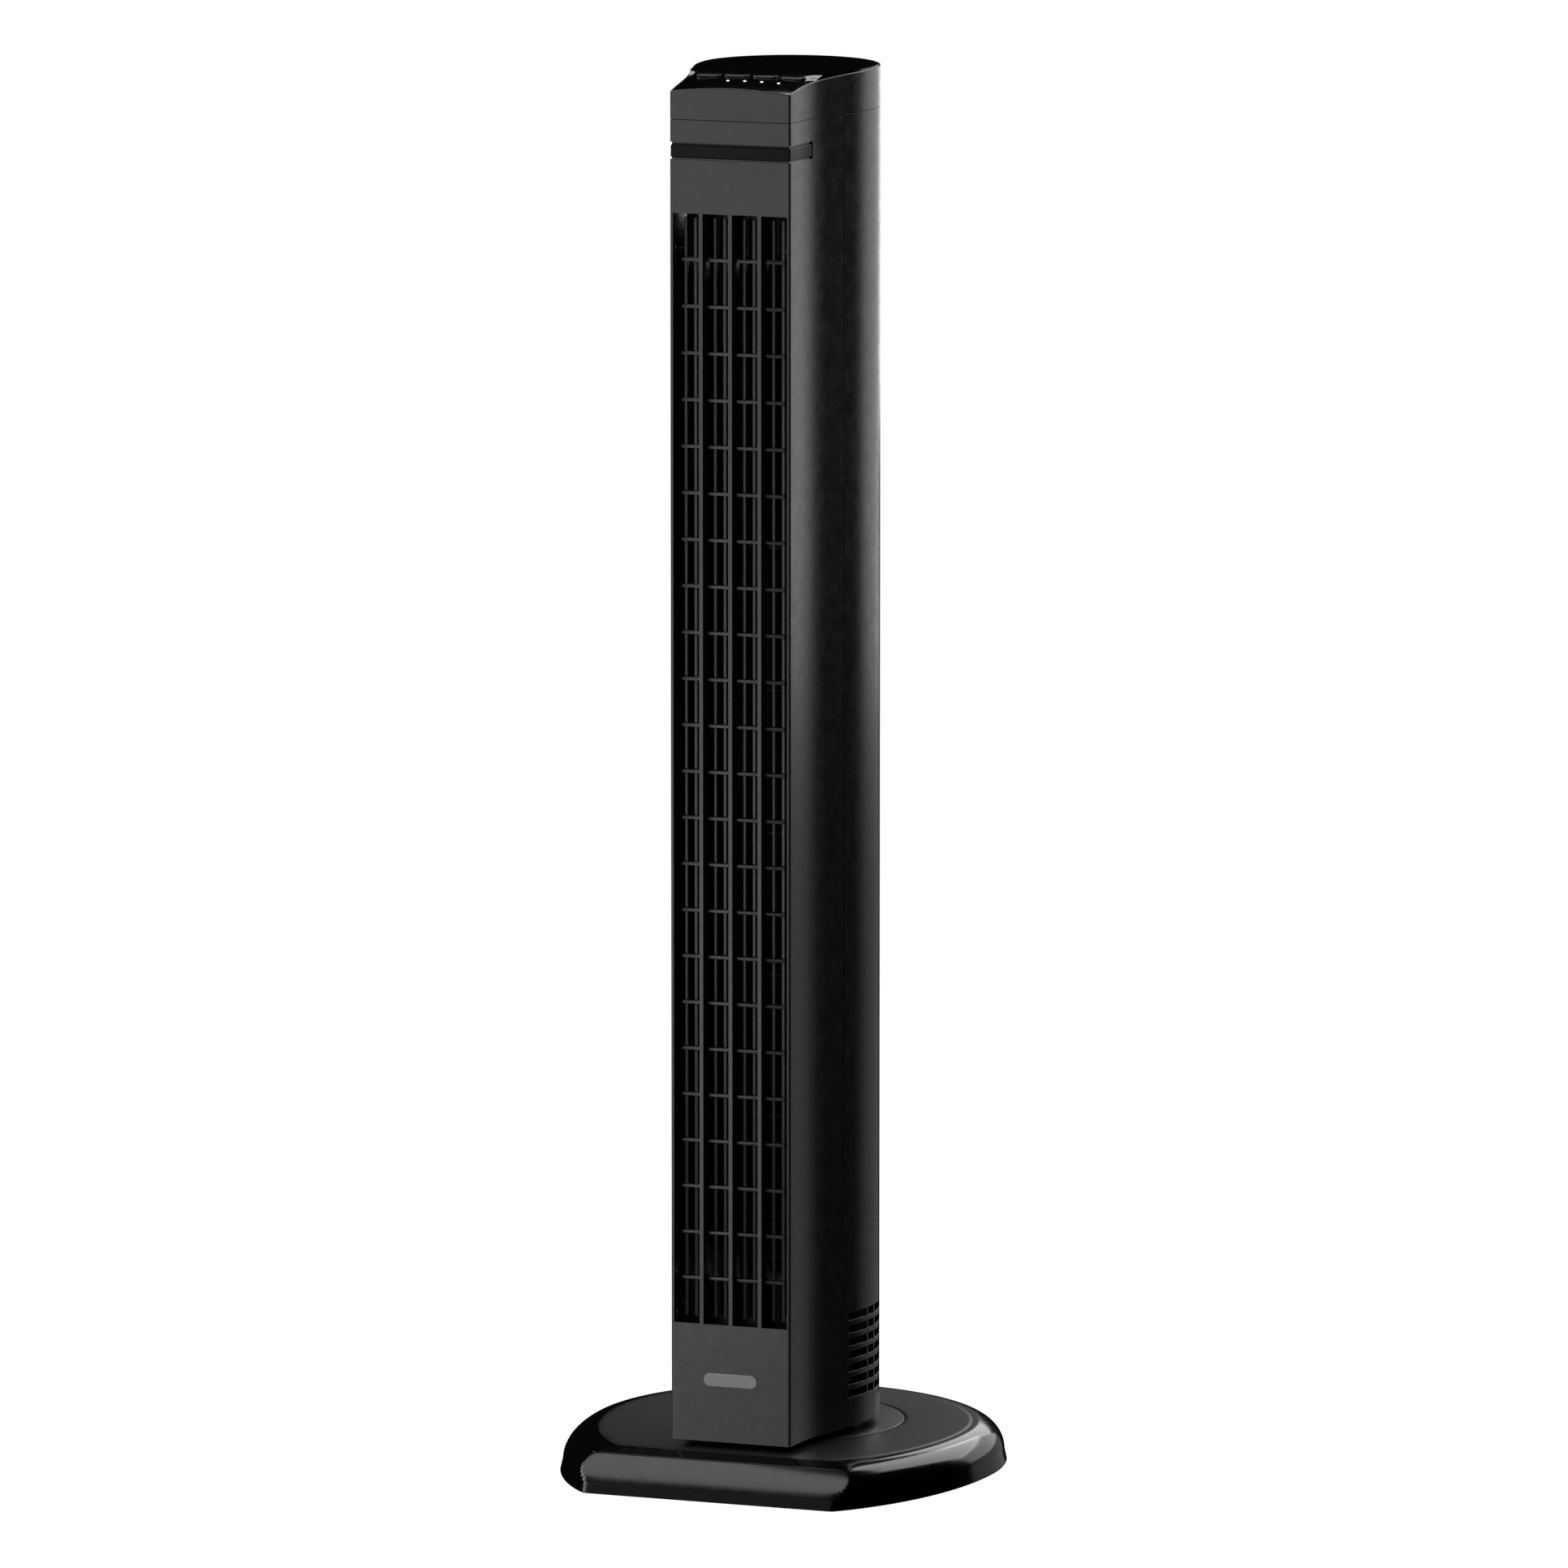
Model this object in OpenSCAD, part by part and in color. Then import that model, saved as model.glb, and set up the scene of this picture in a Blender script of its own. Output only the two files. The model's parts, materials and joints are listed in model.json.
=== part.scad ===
// Tower fan: a slim oscillating column with a full-height cross-flow impeller on a low, flat-fronted base.
// The origin is on the floor under the middle of the base. +Z is up and the air leaves towards -Y.

/* [Base] */
// Radius of the base's round rear half at the floor
base_r = 147.4; // [140:0.1:155]
// Length of the base's front half against its width
base_stretch = 1.335; // [1.25:0.005:1.4]
// Distance from the base's round centre to its cut front, at the floor
base_cut = 157; // [150:0.1:160]
// Height of the base's flat top
plateau_z = 28.05; // [26:0.05:32]
// Height of the upright skirt at the base's edge
skirt_h = 8.6; // [7:0.1:11]
// Radius of the turntable disc that shows in the base's top
turntable_r = 76.1; // [74:0.1:78]

/* [Tower] */
// Height of the gap under the tower
tower_gap = 4.75; // [4:0.05:6]
// Width of the flat front face
front_w = 84.7; // [80:0.1:86]
// Distance of the front face ahead of the swing axis
front_y = 118; // [114:0.5:120]
// Radius of the tower's round back
back_r = 61; // [60:0.5:63]
// Thickness of the housing walls
wall = 2; // [1.6:0.1:2.2]
// Height of the seam between the housing and the cap
seam_z = 919.9; // [915:0.1:921]
// Height of the cap's rim at its front corners
rim_z = 938.6; // [937:0.1:942]

/* [Outlet] */
// Lower edge of the outlet window
window_z0 = 112.5; // [105:0.5:120]
// Upper edge of the outlet window
window_z1 = 857.8; // [850:0.1:862]
// Number of short cross bars in the outlet
cross_bars = 23; // [15:1:25]
// Number of thin upright bars in the outlet
upright_bars = 11; // [11]

/* [Air path] */
// Radius of the cross-flow impeller
impeller_r = 42; // [38:0.5:43]
// Number of impeller blades
blades = 30; // [20:1:36]
// Number of impeller sections
sections = 7; // [5:1:9]

/* [Swing drive] */
// Teeth on the fixed gear
gear_teeth = 60; // [60]
// Teeth on the pinion
pinion_teeth = 20; // [20]
// Gear module
gear_module = 1; // [1]

/* [Hidden] */
$fn = 64;

// Base
round_y = -6;            // centre of the base's round half, from the swing axis
axis_y = (base_cut - base_r) / 2 - round_y;   // the swing axis, from the base's middle
skirt_in = 1.6;          // how far the skirt leans in over its height
rim_in = 21.9;           // inset of the flat top's edge from the floor outline
top_stretch = 1.25;      // stretch of the flat top's front half
foot_h = 1;              // height of the skirt's lower edge over the floor
front_skirt_z = 8;       // top of the skirt at the cut front
ledge_z = 24.2;           // crease between the front's slope and its band
ledge_y = 133;           // the crease's distance ahead of the round centre
skirt_front_in = 4.2;    // how far the skirt leans in at the front
top_cut = 123.7;         // front edge of the flat top, ahead of the round centre
groove = 1.1;            // width of the groove round the flat top
web_t = 2.6;             // thickness of the webs inside the base
top_t = 2.2;             // thickness of the flat top's panels
pan_r = 80;              // radius of the well under the turntable
pan_z = 19;              // underside of that well
post_r = 15;             // radius of the pivot post
post_bore = 11;          // radius of the wiring way through it
post_top = 58;
gland_r = 4.5;           // hole for the lead's gland in the rear of the base
gland_z = 10.5;
gland_y = 124.5;         // inner end of the gland
gland_seat = 14.4;       // length of the gland behind its flange

// Tower outline: a flared front, a straight flank, an arc and a round back, as half widths along Y
tower_z = plateau_z + tower_gap;
back_y = -6;             // centre of the round back, from the swing axis
flank_r = 120;           // radius of the arc ahead of the round back
flank_a = 15.5;          // slope of the flank, in degrees
flare = 0.0473;          // slope of the front part's sides
bend_r = 160;            // radius of the hollow bend between the two
flank_y = back_y - flank_r * sin(flank_a);
flank_x = back_r - flank_r * (1 - cos(flank_a));
flare_a = atan(flare);
cross_y = (front_w / 2 + flare * front_y - flank_x + flank_y * tan(flank_a)) / (tan(flank_a) - flare);
bend_t = bend_r * tan((flank_a - flare_a) / 2);
bend_y0 = cross_y - bend_t * cos(flare_a);
bend_y1 = cross_y + bend_t * cos(flank_a);
bend_x = front_w / 2 + flare * (bend_y0 + front_y) + bend_r * cos(flare_a);
bend_y = bend_y0 - bend_r * sin(flare_a);
part_y = -47;            // parting line of the front and rear housings
part_gap = 0.1;
seam_gap = 0.2;          // half the gap between the housing and the cap
cap_wall = 1.2;          // thickness of the cap's wall

// Cap: the rim rises from the front corners towards the back
rim_rise = 9.1;
rim_length = 40;
crown = 2.9;             // how far the front edge bows up in its middle
deck_z = 934;            // underside of the control deck
rear_deck_z = 947.9;     // level rear part of the deck
step_y0 = -85;           // front and rear of the step between the panel and the rear deck
step_y1 = -64;
step_end = 35;           // the step shortens beyond this distance from the middle
cap_edge = 946.8;        // upper edge of the rear cap panel
cap_sweep = 19;          // how far that edge sweeps down to the parting line
strip_z0 = 894.3;
strip_z1 = 904.2;
strip_y = -83;

// Outlet
window_w = 80.4;
fin_w = 2.8;
fin_x = [-20.65, 0, 20.65];
bar_w = 2.3;
bar_pitch = 6.883;
bar_depth = 8.7;         // uprights behind the front face
cross_depth = 5.5;       // cross bars behind the front face
cross_z0 = 142.5;
cross_pitch = 31.1;
fin_depth = 15;

// Impeller and motor
imp_y = -8;
imp_z0 = 146;
imp_z1 = 822;
disc_t = 2;
shaft_r = 4;
stub_r = 3;
run_fit = 0.05;
motor_r = 36;
motor_z0 = 78;
motor_z1 = 114;
plate_z = 118;
bracket_z = 834;

// Swing drive
gear_z0 = 44;
gear_z1 = 50;
drive_y = -gear_module * (gear_teeth + pinion_teeth) / 2;
drive_plate_z = 53;

// Controls
button_y = -78;
button_w = 17;
button_pitch = 20;
button_d = 5.4;
button_h = 15.8;         // depth of a button below the deck
button_rise = 0.7;       // how far it stands proud
button_travel = 1;
deck_tilt = 9;
lamp_y = -94.6;
lamp_pitch = 11.9;
lamp_x = 7.7;

satin = [0.16, 0.16, 0.165];
gloss = [0.03, 0.03, 0.035];
dark = [0.08, 0.08, 0.085];
steel = [0.7, 0.7, 0.72];
rubber = [0.1, 0.1, 0.1];
white_resin = [0.85, 0.85, 0.82];

// ---------- outlines ----------

// Inset of the rim's side at height z
function side_in(z) = z < skirt_h
    ? skirt_in * (z - foot_h) / (skirt_h - foot_h)
    : let (t = min(1, (z - skirt_h) / (plateau_z - skirt_h)))
      skirt_in + (rim_in - skirt_in) * (1 - sqrt(1 - t * t));

// Distance of the cut front ahead of the round centre at height z
function cut_at(z) = z < front_skirt_z
    ? base_cut - skirt_front_in * (z - foot_h) / (front_skirt_z - foot_h)
    : z < ledge_z
    ? let (t = (z - front_skirt_z) / (ledge_z - front_skirt_z))
      base_cut - skirt_front_in + (ledge_y - base_cut + skirt_front_in) * t + 3 * t * (1 - t)
    : ledge_y + (top_cut - ledge_y) * (z - ledge_z) / (plateau_z - ledge_z);

// Radius of the base in direction a at height z, from the round centre
function base_at(a, z) =
    let (o = side_in(z), r = base_r - o,
         k = base_stretch + (top_stretch - base_stretch) * o / rim_in,
         side = sin(a) >= 0 ? r : r / sqrt(pow(cos(a), 2) + pow(sin(a) / k, 2)))
    sin(a) >= -0.2 ? side : min(side, cut_at(z) / -sin(a));

corner_a = 60.2;   // direction of the front corners, from straight sideways
base_angles = concat([for (a = [0:6:180]) a], [for (a = [186:6:234]) a], [180 + corner_a],
                     [for (a = [246:8:294]) a], [360 - corner_a], [for (a = [306:6:354]) a]);
function base_ring(z, in) = [for (a = base_angles)
    let (r = base_at(a, z) - in) [r * cos(a), round_y + r * sin(a), z]];
function flat(points) = [for (p = points) [p[0], p[1]]];

// Half width of the tower at y, inset by d
function half_w(y, d) = y >= back_y
    ? sqrt(max(0, pow(back_r - d, 2) - pow(y - back_y, 2)))
    : y >= flank_y
    ? back_r - flank_r + sqrt(pow(flank_r - d, 2) - pow(y - back_y, 2))
    : y >= bend_y1
    ? flank_x + (y - flank_y) * tan(flank_a) - d / cos(flank_a)
    : y >= bend_y0
    ? bend_x - sqrt(pow(bend_r + d, 2) - pow(y - bend_y, 2))
    : front_w / 2 + flare * (y + front_y) - d / cos(flare_a);

// Right half of the tower's outline from front to back, then the left half back again
flank_steps = [-100, -94, -88, -82, -76, -70, -64, part_y, -38, -30, -22, -14];
function right_side(d) = concat(
    [[half_w(d - front_y, d), d - front_y]],
    [for (y = flank_steps) [half_w(y, d), y]],
    [for (a = [0:5:85]) [(back_r - d) * cos(a), back_y + (back_r - d) * sin(a)]]);
function tower_outline(d) = concat(right_side(d), [[0, back_y + back_r - d]],
    [for (i = [len(right_side(d)) - 1:-1:0]) [-right_side(d)[i][0], right_side(d)[i][1]]]);

// Height of the cap's rim and of the deck over the floor
function rise(y) = rim_rise * (1 - exp(-(y + front_y) / rim_length));
function rim_at(x, y) = rim_z + rise(y)
    + crown * (1 - pow(min(1, abs(x) / half_w(y, 0)), 2)) * exp(-(y + front_y) / 60);

// ---------- helpers ----------

module on_axis() { translate([0, axis_y, 0]) children(); }

module prism(points, z0, z1) { translate([0, 0, z0]) linear_extrude(z1 - z0) polygon(points); }

module tube(r_out, r_in, z0, z1) {
    translate([0, 0, z0]) difference() {
        cylinder(r = r_out, h = z1 - z0);
        translate([0, 0, -1]) cylinder(r = r_in, h = z1 - z0 + 2);
    }
}

module disc(r, z0, z1) { translate([0, 0, z0]) cylinder(r = r, h = z1 - z0); }

// A block between two corners
module block(low, high) { translate(low) cube(high - low); }

// A closed solid through rings of equal point counts: up the outside and down the inside
module ring_stack(rings) {
    n = len(rings[0]);
    m = len(rings);
    points = [for (r = rings) each r];
    faces = [for (i = [0:m - 1]) for (j = [0:n - 1])
        let (k = (i + 1) % m, l = (j + 1) % n) [i * n + j, k * n + j, k * n + l, i * n + l]];
    polyhedron(points, faces, convexity = 6);
}

module wall_of(z0, z1, thick = wall) {
    difference() {
        prism(tower_outline(0), z0, z1);
        prism(tower_outline(thick), z0 - 1, z1 + 1);
    }
}

// Spur gear with trapezoid teeth that clear each other at the pitch circle
module spur(teeth, z0, z1, turn, bore) {
    pitch_r = gear_module * teeth / 2;
    step = 360 / teeth;
    half = step / 4 - 5 / pitch_r;
    profile = [for (i = [0:teeth - 1]) let (a = turn + i * step) each [
        (pitch_r - 1.15 * gear_module) * [cos(a - step * 0.36), sin(a - step * 0.36)],
        (pitch_r) * [cos(a - half), sin(a - half)],
        (pitch_r + 0.9 * gear_module) * [cos(a - half * 0.4), sin(a - half * 0.4)],
        (pitch_r + 0.9 * gear_module) * [cos(a + half * 0.4), sin(a + half * 0.4)],
        (pitch_r) * [cos(a + half), sin(a + half)],
        (pitch_r - 1.15 * gear_module) * [cos(a + step * 0.36), sin(a + step * 0.36)]]];
    translate([0, 0, z0]) difference() {
        linear_extrude(z1 - z0) polygon(profile);
        translate([0, 0, -1]) cylinder(r = bore, h = z1 - z0 + 2);
    }
}

// A pan-head screw along +Z with its head's underside at z = 0
module screw(r, length, head_r, head_h) {
    difference() {
        union() {
            translate([0, 0, -head_h]) cylinder(r = head_r, h = head_h);
            translate([0, 0, -0.01]) cylinder(r = r, h = length);
        }
        for (a = [0, 90]) rotate([0, 0, a])
            translate([-head_r * 0.6, -0.4, -head_h - 1]) cube([head_r * 1.2, 0.8, 1 + head_h / 2]);
    }
}

// ---------- base ----------

foot_spots = [[-70, -118], [70, -118], [-118, -20], [118, -20], [-72, 92], [72, 92]];
seam_screw_x = 104;
post_screw_spots = [for (a = [45:90:315]) 26 * [cos(a), sin(a)]];

module base_skin() {
    skin = 2.6;
    heights = [foot_h, front_skirt_z, skirt_h, 12, 15.5, 18.5, 21.5, ledge_z, 25.6, 26.8, 27.6, plateau_z];
    outer = [for (z = heights) base_ring(z, 0)];
    lip = [base_ring(plateau_z, groove - 0.2)];
    seat = [for (p = base_ring(plateau_z, groove - 0.2)) [p[0], p[1], plateau_z - top_t - 0.05]];
    shelf = [for (p = base_ring(plateau_z, 5)) [p[0], p[1], plateau_z - top_t - 0.05]];
    under = [for (p = base_ring(plateau_z, 5)) [p[0], p[1], plateau_z - top_t - web_t]];
    inner = [for (z = [24, 20, 14, skirt_h])
        [for (p = base_ring(z, skin)) [p[0], p[1], z - 1.6]]];
    hem = [base_ring(foot_h, skin)];
    ring_stack(concat(outer, lip, [seat], [shelf], [under], inner, hem));
}

module base_inside() {
    web_z = plateau_z - top_t - 0.05;
    difference() {
        prism(flat(base_ring(plateau_z, 4.6)), web_z - web_t, web_z);
        disc(pan_r - 1, 0, 40);
    }
    tube(pan_r, turntable_r + 0.9, pan_z, web_z);
    tube(pan_r - 1, post_r, pan_z, pan_z + web_t);
    for (p = foot_spots) translate(p) tube(8, 3, 2, web_z - web_t + 0.5);
    for (s = [-1, 1]) for (w = [-1, 1])
        block([s * seam_screw_x - 7, w > 0 ? 0.1 : -9, 8], [s * seam_screw_x + 7, w > 0 ? 9 : -0.1, 23.6]);
}

module base_half(front) {
    on_axis() difference() {
        intersection() {
            union() {
                base_skin();
                base_inside();
            }
            block([-200, front ? -200 : 0.1, 0], [200, front ? -0.1 : 200, 60]);
        }
        if (!front) translate([0, gland_y - 3, gland_z]) rotate([-90, 0, 0]) {
            cylinder(r = gland_r, h = 40);
            translate([0, 0, gland_seat + 2.9]) cylinder(r = gland_r + 0.9, h = 20);
        }
        for (s = [-1, 1]) translate([s * seam_screw_x, -20, 15]) rotate([-90, 0, 0])
            cylinder(r = 1.6, h = 40);
        for (p = post_screw_spots) translate(p) disc(1.6, 10, 30);
    }
}

module base_front() { color(gloss) base_half(true); }

module base_rear() { color(gloss) base_half(false); }

module plateau_half(front) {
    on_axis() intersection() {
        difference() {
            prism(flat(base_ring(plateau_z, groove)), plateau_z - top_t, plateau_z);
            disc(turntable_r + 0.5, 0, 40);
        }
        block([-200, front ? -200 : 0.1, 0], [200, front ? -0.1 : 200, 60]);
    }
}

module plateau_front() { color(satin) plateau_half(true); }

module plateau_rear() { color(satin) plateau_half(false); }

module rubber_feet() {
    color(rubber) on_axis() for (p = foot_spots) translate(p) {
        disc(8, 0, 2);
        disc(3, 1.9, 8);
    }
}

module base_screws() {
    color(steel) on_axis() for (s = [-1, 1])
        translate([s * seam_screw_x, 9, 15]) rotate([90, 0, 0]) screw(1.6, 16, 3.4, 2.2);
}

module pivot_post() {
    color(white_resin) on_axis() difference() {
        union() {
            tube(post_r, post_bore, pan_z - 3, post_top);
            tube(36, post_r - 1, pan_z - 3, pan_z);
        }
        for (p = post_screw_spots) translate(p) disc(1.6, 10, 30);
    }
}

module post_screws() {
    color(steel) on_axis() for (p = post_screw_spots)
        translate([p[0], p[1], pan_z - 3]) screw(1.6, 5.5, 3.2, 2);
}

module bearing_ring() {
    color(white_resin) on_axis() tube(68, 56, pan_z + web_t, plateau_z - 2.6);
}

module retaining_collar() {
    color(dark) on_axis() difference() {
        tube(24, post_r, 40, 43);
        for (a = [0:60:300]) rotate([0, 0, a]) translate([21.5, 0, 38]) cylinder(r = 1.5, h = 8);
    }
}

module fixed_gear() {
    color(white_resin) on_axis() spur(gear_teeth, gear_z0, gear_z1, -90, post_r);
}

module lead_gland() {
    color(rubber) on_axis() translate([0, gland_y, gland_z]) rotate([-90, 0, 0]) difference() {
        union() {
            cylinder(r = gland_r - 0.05, h = 16.8);
            translate([0, 0, gland_seat]) cylinder(r = gland_r + 0.7, h = 2.4);
        }
        translate([0, 0, -1]) cylinder(r = 3.1, h = 20);
    }
}

// ---------- tower, lower end ----------

module turntable_disc() {
    color(satin) on_axis() difference() {
        disc(turntable_r, plateau_z - 2.5, plateau_z);
        disc(post_r + run_fit, 0, 60);
    }
}

module neck() {
    color(gloss) on_axis() tube(48, post_r + 1, plateau_z, tower_z);
}

module tower_bottom() {
    color(satin) on_axis() difference() {
        union() {
            prism(tower_outline(wall + 0.1), tower_z, tower_z + 3);
            tube(20, post_r + 1, tower_z + 2.9, 39.6);
            for (p = bracket_posts) translate(p) disc(5, tower_z + 2.9, drive_plate_z);
        }
        disc(post_r + 1, 0, 60);
        for (p = bracket_posts) translate(p) disc(1.6, 43, 60);
    }
}

bracket_posts = [[-30, -62], [30, -62], [-42, 8], [42, 8]];

module front_housing() {
    color(satin) on_axis() difference() {
        intersection() {
            wall_of(tower_z, seam_z - seam_gap);
            block([-100, -150, 0], [100, part_y - part_gap, 1000]);
        }
        block([-window_w / 2, -front_y - 1, window_z0], [window_w / 2, -front_y + wall + 1, window_z1]);
        strip_channel();
    }
    color(satin) on_axis() for (x = fin_x)
        block([x - fin_w / 2, -front_y, window_z0 - 0.5], [x + fin_w / 2, -front_y + wall, window_z1 + 0.5]);
}

module strip_band(d0, d1, z0, z1, back) {
    translate([0, 0, z0]) linear_extrude(z1 - z0) intersection() {
        difference() {
            polygon(tower_outline(d0));
            polygon(tower_outline(d1));
        }
        translate([-100, -150]) square([200, 150 + back]);
    }
}

module strip_channel() { strip_band(-1, 1.2, strip_z0 - 0.8, strip_z1 + 0.8, strip_y + 0.4); }

module trim_strip() {
    color(gloss) on_axis() strip_band(0.3, 1.2, strip_z0, strip_z1, strip_y);
}

// Ribs that stay between the lower vents, as directions from the round back's centre
vent_ribs = concat([-10.7, 190.7], [for (a = [0:20:180]) a]);

module lower_vents() {
    pitch = 8.8;
    for (i = [0:6]) translate([0, 0, 53 + i * pitch]) linear_extrude(5.2) difference() {
        polygon(tower_outline(-1));
        polygon(tower_outline(wall + 1));
        translate([-100, -141]) square([200, 100]);
        translate([-100, back_y + 24.8]) square([200, 100]);
        for (a = vent_ribs) translate([0, back_y]) rotate(a) translate([40, -1.1]) square([40, 2.2]);
    }
}

module rear_housing() {
    color(satin) on_axis() difference() {
        intersection() {
            wall_of(tower_z, seam_z - seam_gap);
            block([-100, part_y + part_gap, 0], [100, 150, 1000]);
        }
        lower_vents();
        intake_sector(50, 70, 132, 848, 26);
    }
}

// A tall sector round the back between two radii, from angle a to 180 - a
module intake_sector(r0, r1, z0, z1, a) {
    translate([0, back_y, z0]) rotate([0, 0, a]) rotate_extrude(angle = 180 - 2 * a)
        translate([r0, 0]) square([r1 - r0, z1 - z0]);
}

module intake_grille() {
    z0 = 130;
    z1 = 850;
    rows = 80;
    color(satin) on_axis() {
        for (i = [0:rows]) intake_sector(58.1, 60.7, z0 + 3 + i * (z1 - z0 - 9) / rows,
            z0 + 6.4 + i * (z1 - z0 - 9) / rows, 27);
        for (a = [28:20.6:152]) translate([0, back_y, 0]) rotate([0, 0, a])
            block([56.6, -1.1, z0], [58.6, 1.1, z1]);
        for (a = [24.5, 151]) translate([0, back_y, z0]) rotate([0, 0, a]) rotate_extrude(angle = 4.5)
            translate([56.6, 0]) square([2.2, z1 - z0]);
    }
}

module outlet_grille() {
    z0 = window_z0 + 3.5;
    z1 = window_z1 - 3.3;
    first = -(upright_bars - 1) / 2 * bar_pitch;
    color(satin) on_axis() {
        for (x = fin_x)
            block([x - fin_w / 2, -front_y + wall, window_z0 - 4],
                  [x + fin_w / 2, -front_y + fin_depth, window_z1 + 4]);
        for (i = [0:upright_bars - 1]) if (i % 3 != 2)
            block([first + i * bar_pitch - bar_w / 2, -front_y + bar_depth, z0],
                  [first + i * bar_pitch + bar_w / 2, -front_y + bar_depth + 3, z1]);
        for (i = [0:cross_bars - 1]) cross_bar(cross_z0 + i * cross_pitch, -first + bar_w / 2 + 0.8);
    }
}

module cross_bar(z, half) {
    block([-half, -front_y + cross_depth, z - bar_w / 2], [half, -front_y + bar_depth + 0.6, z + bar_w / 2]);
}

// ---------- cap and controls ----------

// A wall whose top follows the rim, from y0 to y1 along the outline
module cap_ring(d0, d1, z0, drop) {
    outer = cap_points(d0);
    inner = cap_points(d1);
    ring_stack([
        [for (p = outer) [p[0], p[1], z0]],
        [for (p = outer) [p[0], p[1], rim_at(p[0], p[1]) - drop - 0.6]],
        [for (i = [0:len(outer) - 1]) let (p = outer[i] * 0.75 + inner[i] * 0.25)
            [p[0], p[1], rim_at(p[0], p[1]) - drop]],
        [for (p = inner) [p[0], p[1], rim_at(p[0], p[1]) - drop]],
        [for (p = inner) [p[0], p[1], z0]]]);
}

// The outline with extra points along the bowed front edge
function cap_points(d) = concat(tower_outline(d),
    [for (i = [1:7]) [half_w(d - front_y, d) * (-1 + i / 4), d - front_y]]);

module top_cap() {
    color(satin) on_axis() difference() {
        cap_ring(0, cap_wall, seam_z + seam_gap, 0);
        rear_cap_space(0);
    }
}

module rear_cap_space(gap) {
    // The rear panel's edge goes up at the parting line, then sweeps back under the rim
    translate([-100, 0, 0]) rotate([90, 0, 90]) linear_extrude(200) polygon([
        [part_y + gap, seam_z - 1],
        for (y = [0, 2, 4, 7, 11, 16, 24, 36, 60])
            [part_y + gap + y, cap_edge - gap - cap_sweep * exp(-y / 10)],
        [80, cap_edge - gap], [80, seam_z - 1]]);
}

module rear_cap_panel() {
    color(satin) on_axis() intersection() {
        wall_of(seam_z + seam_gap, 960, cap_wall);
        rear_cap_space(0.15);
    }
}

// Top surface of the control deck: it follows the rim in front, then steps up to a level rear deck
function smooth(t) = let (u = max(0, min(1, t))) u * u * (3 - 2 * u);
function deck_at(x, y) = let (y0 = step_y0 + 6 * smooth((abs(x) - step_end) / 9),
                              s = smooth((y - y0) / (step_y1 - y0)))
    (rim_at(x, y) - 0.2) * (1 - s) + rear_deck_z * s;

deck_rows = concat([-front_y + cap_wall + 0.2, -112, -106, -100, -95, -90], [for (y = [step_y0:3:step_y1]) y],
                   [-56, -44, -28, -12, 4, 20, 32, 42, 48, 51.5, 53.2]);
deck_cols = 12;

module deck_body() {
    top = [for (y = deck_rows) [for (j = [0:deck_cols])
        let (x = half_w(y, cap_wall + 0.15) * (2 * j / deck_cols - 1)) [x, y, deck_at(x, y)]]];
    n = deck_cols + 1;
    m = len(deck_rows);
    points = concat([for (r = top) each r], [for (r = top) for (p = r) [p[0], p[1], deck_z]]);
    faces = concat(
        [for (i = [0:m - 2]) for (j = [0:n - 2]) each [
            [i * n + j, (i + 1) * n + j, (i + 1) * n + j + 1],
            [i * n + j, (i + 1) * n + j + 1, i * n + j + 1]]],
        [for (i = [0:m - 2]) for (j = [0:n - 2]) let (b = m * n)
            [b + i * n + j, b + i * n + j + 1, b + (i + 1) * n + j + 1, b + (i + 1) * n + j]],
        [for (i = [0:m - 2]) let (b = m * n) each [
            [i * n, b + i * n, b + (i + 1) * n, (i + 1) * n],
            [i * n + n - 1, (i + 1) * n + n - 1, b + (i + 1) * n + n - 1, b + i * n + n - 1]]],
        [for (j = [0:n - 2]) let (b = m * n, e = (m - 1) * n) each [
            [j, j + 1, b + j + 1, b + j], [e + j, b + e + j, b + e + j + 1, e + j + 1]]]);
    polyhedron(points, faces, convexity = 4);
}

module control_deck() {
    color(gloss) on_axis() difference() {
        deck_body();
        for (i = [0:3]) at_button(i) stadium(button_w + 0.7, button_d + 0.7, -20, 20);
        for (i = [0:3]) at_lamp(i) cylinder(r = 1.1, h = 40, center = true, $fn = 24);
    }
}

// A bar with round ends, centred, along X
module stadium(w, d, z0, z1) {
    translate([0, 0, z0]) linear_extrude(z1 - z0) {
        square([w - d, d], center = true);
        for (s = [-1, 1]) translate([s * (w - d) / 2, 0]) circle(d / 2, $fn = 32);
    }
}

function button_x(i) = (i - 1.5) * button_pitch;
function lamp_at(i) = lamp_x + (i - 1.5) * lamp_pitch;

module at_button(i) {
    translate([button_x(i), button_y, deck_at(button_x(i), button_y)]) rotate([deck_tilt, 0, 0]) children();
}

module at_lamp(i) {
    translate([lamp_at(i), lamp_y, deck_at(lamp_at(i), lamp_y)]) rotate([deck_tilt, 0, 0]) children();
}

module button(i) {
    color(gloss) on_axis() at_button(i) {
        stadium(button_w, button_d, -7.5, button_rise);
        stadium(button_w + 3, button_d + 1.2, -button_h, -button_h + 1.5);
        stadium(button_w - 2, button_d - 1.4, -button_h + 0.5, -7);
    }
}

module button_1() { button(0); }
module button_2() { button(1); }
module button_3() { button(2); }
module button_4() { button(3); }

module lamp_lenses() {
    color([0.95, 0.97, 1]) on_axis() for (i = [0:3]) at_lamp(i)
        translate([0, 0, -8]) cylinder(r = 1, h = 8.3, $fn = 24);
}

board_z = 922.5;

module control_board() {
    color([0.1, 0.3, 0.15]) on_axis() block([-38, -100, board_z], [38, -50, board_z + 1.6]);
}

module switches() {
    color(dark) on_axis() for (i = [0:3])
        let (x = button_x(i), top = deck_at(x, button_y) - button_h - button_travel - 0.5)
            block([x - 3, button_y - 2, board_z + 1.6], [x + 3, button_y + 4, top]);
}

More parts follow.
